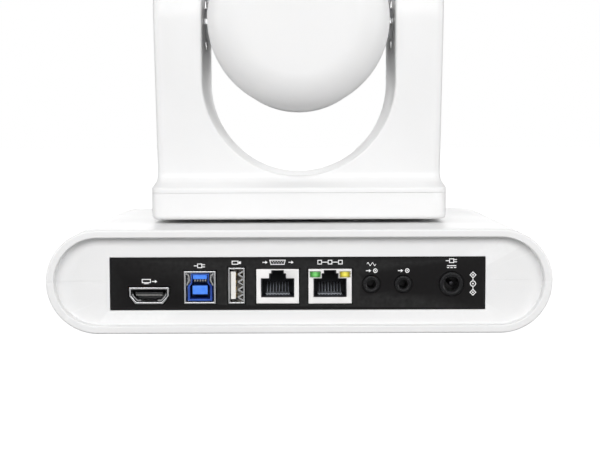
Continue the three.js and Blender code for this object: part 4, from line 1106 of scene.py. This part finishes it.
# Two mirrored strips: each follows corners (out from the middle, up from a level) with rounded bends.
def sideStrips(middle, level, corners, step, thickness, depth):
    shapes = []
    for side in (-1, 1):
        line = roundedLine([(middle + side * out, level + up) for out, up in corners], 0.5, 5)
        shapes.append(stripShape(refinedLine(line, step), thickness, *depth))
    return joinShapes(shapes)


videoForm = {"tips": 19, "tipPitch": 0.52, "tipWidth": 0.3, "tipHeight": 0.34, "tipSunk": 0.06, "tipLength": 3,
             "tipProud": 0.12, "lipDepth": (58.6, 60.5), "lipThick": 0.36,
             "lipLine": [(1.3, 3.7), (1.4, 3.1), (2.9, 1.35), (4.4, 1.3)]}


# The video socket: a row of contact tips on the blade, and two lips that follow its slanted sides.
def makeVideoDetails():
    form = videoForm
    low, high = lowHigh("video_socket_shell")
    middle, _, level = middleOf("video_socket_shell")
    bladeEnd, half = lowHigh("video_socket_tongue")[1][1], form["tipWidth"] / 2
    tip = blockShape((-half, bladeEnd - form["tipLength"], level - form["tipSunk"]),
                     (half, bladeEnd + form["tipProud"], level + form["tipHeight"]))
    places = evenPlaces(form["tips"], form["tipPitch"], middle)
    addDetail("video_socket_contacts", repeatShape(tip, [(x, 0, 0) for x in places]), "contactTin")
    reach = high[0] - middle
    corners = [(reach - inset, up) for inset, up in form["lipLine"]]
    lips = sideStrips(middle, low[2], corners, 0.4, form["lipThick"], form["lipDepth"])
    addDetail("video_socket_lips", lips, "platedSteel")


squareForm = {"cover": 0.14, "coverEdge": 0.12, "tongueHalf": 2.7, "tongueDepth": (1.6, 0.45),
              "tongueRise": (2.6, 5.6), "stripHalf": 2.5, "stripDepth": (1.2, 0.25), "stripDrop": (2, 0.4),
              "pins": 5, "pinPitch": 1.0, "pinWidth": 0.42, "pinDepth": (6, 1.5), "pinDrop": (3.1, 2.3),
              "springDepth": (57.0, 61.2), "springThick": 0.45,
              "springLine": [(5.15, 0.1), (4.15, -0.7), (4.0, -2.4), (5.0, -4.4)]}


# The square socket: covers in a lighter copy of the insert's blue over its tongue and strip, painted light on
# those front faces; pins under the strip, a leaf spring at each side.
def makeSquareDetails():
    form = squareForm
    low, high = lowHigh("square_data_socket_insert")
    middle = (low[0] + high[0]) / 2
    grow, face, top = form["cover"], high[1], high[2]
    tongueHalf, stripHalf, pinHalf = form["tongueHalf"] + grow, form["stripHalf"] + grow, form["pinWidth"] / 2
    tongue = blockShape(
        (middle - tongueHalf, face - form["tongueDepth"][0], low[2] + form["tongueRise"][0] - grow),
        (middle + tongueHalf, face - form["tongueDepth"][1], low[2] + form["tongueRise"][1] + grow))
    strip = blockShape(
        (middle - stripHalf, face - form["stripDepth"][0], top - form["stripDrop"][0] - grow),
        (middle + stripHalf, face - form["stripDepth"][1], top - form["stripDrop"][1] + grow * 0.4))
    # Covers in the lighter blue over the tongue and strip: painted light where their front faces catch the
    # light.
    addDetail("square_data_socket_lit_faces", joinShapes([tongue, strip]), "litBlue",
              form["coverEdge"])
    pin = blockShape((-pinHalf, face - form["pinDepth"][0], top - form["pinDrop"][0]),
                     (pinHalf, face - form["pinDepth"][1], top - form["pinDrop"][1]))
    places = evenPlaces(form["pins"], form["pinPitch"], middle)
    addDetail("square_data_socket_pins", repeatShape(pin, [(x, 0, 0) for x in places]), "contactTin")
    springs = sideStrips(middle, top, form["springLine"], 0.3, form["springThick"], form["springDepth"])
    addDetail("square_data_socket_springs", springs, "platedSteel")


flatForm = {"contacts": 4, "contactPitch": 2.6, "contactHeight": 1.3, "contactX": (-0.22, 0.05),
            "contactStart": 51, "contactEnd": 0.3, "contactEdge": 0.04, "tongueThick": 1.9,
            "springs": 4, "springPitch": 2.9, "springReach": 1.5, "springHalf": 1.25, "springThick": 0.6,
            "springStart": 56.5, "springEnd": 0.15, "springWall": 0.78}


# The flat socket: contacts along its tongue, and springs that bow in from the opposite wall by a
# raised cosine of the height.
def makeFlatDetails():
    form = flatForm
    low, high = lowHigh("flat_data_socket_shell")
    tongueHigh = lowHigh("flat_data_socket_tongue")[1]
    middle, half = (low[2] + high[2]) / 2, form["contactHeight"] / 2
    face = tongueHigh[0] - form["tongueThick"]
    contact = blockShape((face + form["contactX"][0], form["contactStart"], -half),
                         (face + form["contactX"][1], tongueHigh[1] - form["contactEnd"], half))
    places = evenPlaces(form["contacts"], form["contactPitch"], middle)
    addDetail("flat_data_socket_contacts", repeatShape(contact, [(0, 0, z) for z in places]), "brass",
              form["contactEdge"])
    height = np.linspace(-1, 1, 17)
    bow = form["springReach"] * (0.5 + 0.5 * np.cos(pi * height)) ** 1.3
    line = np.stack([low[0] + form["springWall"] + bow, form["springHalf"] * height], -1)
    spring = stripShape(line, form["springThick"], form["springStart"], high[1] - form["springEnd"])
    places = evenPlaces(form["springs"], form["springPitch"], middle)
    addDetail("flat_data_socket_springs", repeatShape(spring, [(0, 0, z) for z in places]),
              "platedSteel")


jackForm = {"half": (6.25, 3.2, 2.35), "levels": (2.35, 9.55, 11.45, 12.65), "sleeve": (0.06, 0.4),
            "front": 0.9, "back": 3.7, "linerFloor": 0.4, "wires": 8, "wirePitch": 1.15, "wire": 0.2,
            "wireBend": 0.8,
            "wireLine": [(58.2, 0.75), (56.9, 0.95), (53.6, 4.3), (51.0, 4.5)],
            "footHalf": 4.6, "footDepth": (50.0, 55.0), "footRise": (0.45, 0.8)}


# The stepped mouth of a modular jack, shrunk evenly.
def mouthOutline(middle, floor, inset):
    wide, mid, slim = (half - inset for half in jackForm["half"])
    lowest, *upper = jackForm["levels"]
    levels = [floor + lowest + inset] + [floor + level - inset for level in upper]
    right = [(wide, levels[0]), (wide, levels[1]), (mid, levels[1]), (mid, levels[2]), (slim, levels[2]),
             (slim, levels[3])]
    return [(middle + x, z) for x, z in right] + [(middle - x, z) for x, z in right[::-1]]


# A liner is a cup: outer outline back to front, inner outline front to back. Wires climb towards the back.
def makeJackInsides():
    form = jackForm
    outer, inner = form["sleeve"]
    for name in ("serial", "network"):
        low, high = lowHigh(f"{name}_jack_shell")
        middle, back, front = (low[0] + high[0]) / 2, low[1] + form["back"], high[1] - form["front"]
        rows = []
        for inset, y in ((outer, back), (outer, front), (inner, front), (inner, back + form["linerFloor"])):
            outline = np.array(mouthOutline(middle, low[2], inset))
            rows.append(np.stack([outline[:, 0], np.full(len(outline), y), outline[:, 1]], -1))
        liner = gridShape(np.stack(rows), wrapCols=True, caps=True)
        addDetail(f"{name}_jack_liner", liner, "linerBlack")
        floor = low[2] + form["levels"][0]
        line = roundedLine([(middle, y, floor + rise) for y, rise in form["wireLine"]], form["wireBend"], 5)
        wire = carriedShape(refinedLine(line, 0.5), disc(form["wire"], 8), (0, 0, 1))
        wires = repeatShape(wire, [(x, 0, 0) for x in evenPlaces(form["wires"], form["wirePitch"])])
        foot = blockShape((middle - form["footHalf"], form["footDepth"][0], floor + form["footRise"][0]),
                          (middle + form["footHalf"], form["footDepth"][1], floor + form["footRise"][1]))
        addDetail(f"{name}_jack_wires", joinShapes([wires, foot]), "contactWire",
                  nodes=[f"{name}_jack_contacts"])


collarForm = {"proud": 0.3, "crest": 0.72, "stepProud": 0.12, "sleeve": 1.5, "skirt": 0.3, "gap": 0.02,
              "slope": 0.5, "pinTip": 0.55, "pinEnd": 0.1,
              "jacks": {"reference_audio_jack": (3.1, 1.8), "line_in_jack": (3.1, 1.8),
                        "dc_power_jack": (4.42, 2.95)}}


# A round jack's collar: a rounded lip about the bore with a shallow step outside it.
def makeCollars():
    form = collarForm
    pinLow, pinHigh = lowHigh("dc_centre_pin")
    pinX, _, axisZ = middleOf("dc_centre_pin")
    for node, (outer, bore) in form["jacks"].items():
        face = lowHigh(node)[1][1]
        crest, ledge, back = face + form["proud"], face + form["stepProud"], face - form["sleeve"]
        step, inner = bore + (outer - bore) * form["crest"], outer - form["skirt"]
        corners = [(bore + form["gap"], back), (bore + form["gap"], face), (bore + form["slope"], crest),
                   (step, crest), (step + form["stepProud"], ledge), (outer, ledge),
                   (outer, face - form["skirt"]), (inner, face - form["skirt"]), (inner, back)]
        profile = roundedLine(corners, [0, 0.15, 0.2, 0.15, 0.05, 0.1, 0, 0, 0], 5, closed=True)
        shape = turnedShape(profile, "y", (middleOf(node)[0], 0, axisZ), 72, closed=True)
        addDetail(node + "_collar", shape, "glossBlack")
    radius = (pinHigh[0] - pinLow[0]) / 2
    pin = roundedLine([(0, pinHigh[1]), (radius, pinHigh[1]), (radius, pinLow[1]), (0, pinLow[1])],
                      [0, form["pinTip"], form["pinEnd"], 0], 6)
    addDetail("dc_centre_pin_turned", turnedShape(pin, "y", (pinX, 0, axisZ), 40), "darkSteel",
              nodes=["dc_centre_pin"])


# Marks on the panel: small pictures of what each socket is for, each drawn as (right, up).
markForm = {"stroke": 0.3, "lift": 0.04, "sink": 0.06, "videoRise": 2.2, "squareRise": 2.0, "flatRise": 1.9,
            "jackRise": 2.55, "waveRise": 7.6, "audioRise": 5.1, "powerRise": 8.8, "directRise": 6.6,
            "polarityPlace": (-8.1, 0.1)}


# Where a mark belongs: over the middle of its socket.
def over(node, rise):
    return middleOf(node)[0], lowHigh(node)[1][2] + rise


# A thin plate with a given outline, sunk a little into the panel.
def markPlate(centre, outline, right=0, up=0):
    outline = np.array(outline, float) + np.array([right, up])
    placed = np.stack([centre[0] - outline[:, 0], centre[1] + outline[:, 1]], -1)
    return prismShape(placed, rearFace - markForm["sink"], rearFace + markForm["lift"])


# A band between an outline and the same outline drawn smaller: a closed ring with a square section.
def markBand(centre, outer, inner, right=0, up=0):
    loops = []
    for outline, y in ((outer, -markForm["sink"]), (outer, markForm["lift"]), (inner, markForm["lift"]),
                       (inner, -markForm["sink"])):
        outline = np.array(outline, float) + np.array([right, up])
        loops.append(np.stack([centre[0] - outline[:, 0], np.full(len(outline), rearFace + y),
                               centre[1] + outline[:, 1]], -1))
    return gridShape(np.stack(loops), wrapRows=True, wrapCols=True)


def frameMark(centre, halfU, halfV, right=0, up=0):
    stroke = markForm["stroke"]
    return markBand(centre, oblong(halfU, halfV), oblong(halfU - stroke, halfV - stroke), right, up)


def ringMark(centre, radius, corners=24, right=0, up=0):
    inner = radius - markForm["stroke"] / math.cos(pi / corners)
    return markBand(centre, disc(radius, corners), disc(inner, corners), right, up)


def arrowMark(centre, right=0):
    return [markPlate(centre, oblong(0.55, 0.16), right - 0.55),
            markPlate(centre, [(0, -0.62), (0.85, 0), (0, 0.62)], right + 0.01)]


def screenMark(centre):
    return [frameMark(centre, 1.7, 0.75, -1.0, 0.2), markPlate(centre, oblong(0.9, 0.14), -1.0, -0.8),
            *arrowMark(centre, 2.2)]


def plugMark(centre):
    return [frameMark(centre, 0.95, 0.85), markPlate(centre, oblong(0.5, 0.15), 1.5, 0.42),
            markPlate(centre, oblong(0.5, 0.15), 1.5, -0.42), markPlate(centre, oblong(0.6, 0.15), -1.6)]


def stickMark(centre):
    return [frameMark(centre, 1.25, 0.75, -0.5), markPlate(centre, oblong(0.45, 0.45), 1.3)]


def serialMark(centre):
    outer = [(3.1, 0.95), (-3.1, 0.95), (-2.6, -0.95), (2.6, -0.95)]
    inner = [(2.72, 0.65), (-2.72, 0.65), (-2.36, -0.65), (2.36, -0.65)]
    dots = [markPlate(centre, disc(0.17, 10), (k - 2) * 1.0, 0.28) for k in range(5)]
    dots += [markPlate(centre, disc(0.17, 10), (k - 1.5) * 1.0, -0.28) for k in range(4)]
    return [markBand(centre, outer, inner), *dots, *arrowMark(centre, -4.6), *arrowMark(centre, 5.2)]


def networkMark(centre):
    shapes = [frameMark(centre, 0.85, 0.85, right) for right in (-3.9, 0, 3.9)]
    return shapes + [markPlate(centre, oblong(1.08, 0.15), right) for right in (-1.95, 1.95)]


def waveMark(centre):
    u = np.linspace(-1.7, 1.7, 33)
    v = 0.55 * np.sin(u / 1.7 * 2 * pi)
    half = markForm["stroke"] * 0.62
    upper, lower = np.stack([u, v + half], -1), np.stack([u, v - half], -1)
    return [markPlate(centre, np.concatenate([upper, lower[::-1]]))]


def jackMark(centre):
    return [ringMark(centre, 0.85, right=1.5), markPlate(centre, disc(0.28, 16), 1.5),
            *arrowMark(centre, -0.9)]


def directMark(centre):
    dashes = [markPlate(centre, oblong(0.42, 0.16), right, -0.38) for right in (-1.3, 0, 1.3)]
    return [markPlate(centre, oblong(1.72, 0.16), 0, 0.32), *dashes]


def polarityMark(centre):
    shapes = []
    for up, corners in ((3.3, 4), (0, 24), (-3.3, 4)):
        shapes += [ringMark(centre, 1.3 if corners == 4 else 1.15, corners, up=up),
                   markPlate(centre, disc(0.32, 16), 0, up)]
    return shapes + [markPlate(centre, oblong(0.15, 0.42), 0, up) for up in (1.58, -1.58)]


def makeMarks():
    form = markForm
    pinX, _, axisZ = middleOf("dc_centre_pin")
    referenceX, lineX = middleOf("reference_audio_jack")[0], middleOf("line_in_jack")[0]
    right, up = form["polarityPlace"]
    shapes = [*screenMark(over("video_socket_shell", form["videoRise"])),
              *plugMark(over("square_data_socket_shell", form["squareRise"])),
              *stickMark(over("flat_data_socket_shell", form["flatRise"])),
              *serialMark(over("serial_jack_shell", form["jackRise"])),
              *networkMark(over("network_jack_shell", form["jackRise"])),
              *waveMark((referenceX, axisZ + form["waveRise"])),
              *jackMark((referenceX, axisZ + form["audioRise"])),
              *jackMark((lineX, axisZ + form["audioRise"])),
              *plugMark((pinX, axisZ + form["powerRise"])),
              *directMark((pinX, axisZ + form["directRise"])),
              *polarityMark((pinX + right, axisZ + up))]
    addDetail("panel_marks", joinShapes(shapes), "ink")


makeEasedNodes()
makeVideoDetails()
makeSquareDetails()
makeFlatDetails()
makeJackInsides()
makeCollars()
makeMarks()
print("panel, sockets and marks made")


# What stays as the CAD made it, with a finish.
restFinishes = {
    "board": ["main_board", "sensor_board"],
    "sheetSteel": ["base_chassis_plate", "pan_motor", "pan_motor_bracket", "pan_spindle", "yoke_chassis",
                   "tilt_motor", "head_frame"],
    "platedSteel": ["pan_bearing", "tilt_bearing_left", "tilt_bearing_right", "tilt_shaft_left",
                    "tilt_shaft_right"],
    "gearPlastic": ["pan_pinion", "pan_ring_gear", "tilt_pinion", "tilt_gear"],
    "blackPlastic": ["lens_block_housing", "reference_audio_jack", "line_in_jack", "dc_power_jack"],
    "coatedGlass": ["zoom_lens_group", "focus_lens_group"],
}
for finish, nodes in restFinishes.items():
    for node in nodes:
        kept = frame["nodes"][node].data.materials
        kept.clear()
        kept.append(finishes[finish])


# Floor, light and camera.
stageForm = {"floorSize": 8, "floorColour": (0.42, 0.42, 0.42), "floorPatch": (0.44, 0.44, 0.44),
             "floorShown": 1.1, "sky": 0.3, "aim": (0, 0, 0.05),
             "softboxes": {"rearSoftbox": (27.5, 2.4, 0.8, (0.0, 1.5, 0.82)),
                           "frontSoftbox": (9.0, 1.2, 1.2, (0.0, -1.6, 0.5)),
                           "leftSoftbox": (7.5, 1.2, 0.8, (1.7, 0.25, 0.45)),
                           "rightSoftbox": (7.5, 1.2, 0.8, (-1.7, 0.25, 0.45))}}


# One shader for the light that falls on things, another for what the camera sees.
def splitForCamera(tree, lit, shown, surface):
    path = addNode(tree, "ShaderNodeLightPath")
    choose = addNode(tree, "ShaderNodeMixShader")
    tree.links.new(path.outputs["Is Camera Ray"], choose.inputs["Fac"])
    tree.links.new(lit, choose.inputs[1])
    tree.links.new(shown, choose.inputs[2])
    tree.links.new(choose.outputs["Shader"], surface)


# The paper is lit as paper, and looks evenly white from the camera.
def makeFloor():
    form = stageForm
    half = form["floorSize"] / 2
    mesh = bpy.data.meshes.new("floor")
    mesh.from_pydata([(u, v, 0) for u, v in oblong(half, half)], [], [(0, 1, 2, 3)])
    floor = placeObject("floor", mesh)
    material, tree, shader = newMaterial("floorPaper")
    grain = placeGroup(tree, grainGroup, {"Grain per metre": 900, "Patch per metre": 3})
    mixColours(tree, grain.outputs["Tone"], form["floorColour"], form["floorPatch"],
               shader.inputs["Base Color"])
    shader.inputs["Roughness"].default_value = 0.9
    shader.inputs["Specular IOR Level"].default_value = 0.1
    glow = addNode(tree, "ShaderNodeEmission", values={"Strength": form["floorShown"]})
    splitForCamera(tree, shader.outputs["BSDF"], glow.outputs["Emission"],
                   tree.nodes["Material Output"].inputs["Surface"])
    mesh.materials.append(material)


# White behind the object for the camera, and an even pale sky for everything that it lights.
def makeWorld():
    world = bpy.data.worlds.new("studio")
    bpy.context.scene.world = world
    world.use_nodes = True
    tree = world.node_tree
    shown = tree.nodes["Background"]
    shown.inputs["Color"].default_value = (1, 1, 1, 1)
    light = addNode(tree, "ShaderNodeBackground", values={"Strength": stageForm["sky"]})
    light.inputs["Color"].default_value = (1, 1, 1, 1)
    splitForCamera(tree, light.outputs["Background"], shown.outputs["Background"],
                   tree.nodes["World Output"].inputs["Surface"])


def makeSoftboxes():
    for name, (power, width, height, place) in stageForm["softboxes"].items():
        lamp = bpy.data.lights.new(name, "AREA")
        lamp.shape = "RECTANGLE"
        lamp.energy = power
        lamp.size = width
        lamp.size_y = height
        box = placeObject(name, lamp)
        aim = Vector(stageForm["aim"]) - Vector(place)
        box.matrix_world = Matrix.Translation(place) @ aim.to_track_quat("-Z", "Y").to_matrix().to_4x4()


cameraForm = {"place": (-0.00037, 0.540, 0.0784), "pitch": 4.39, "roll": -0.18, "lens": 76.62}


def makeCamera():
    form = cameraForm
    data = bpy.data.cameras.new("camera")
    data.lens = form["lens"]
    data.sensor_width = 36
    data.clip_start = 0.01
    camera = placeObject("camera", data)
    turn = (Matrix.Rotation(pi, 4, "Z") @ Matrix.Rotation(pi / 2 - math.radians(form["pitch"]), 4, "X")
            @ Matrix.Rotation(math.radians(form["roll"]), 4, "Z"))
    camera.matrix_world = Matrix.Translation(form["place"]) @ turn
    bpy.context.scene.camera = camera


makeFloor()
makeWorld()
makeSoftboxes()
makeCamera()
bpy.context.scene.view_settings.view_transform = "Standard"
print("stage made")
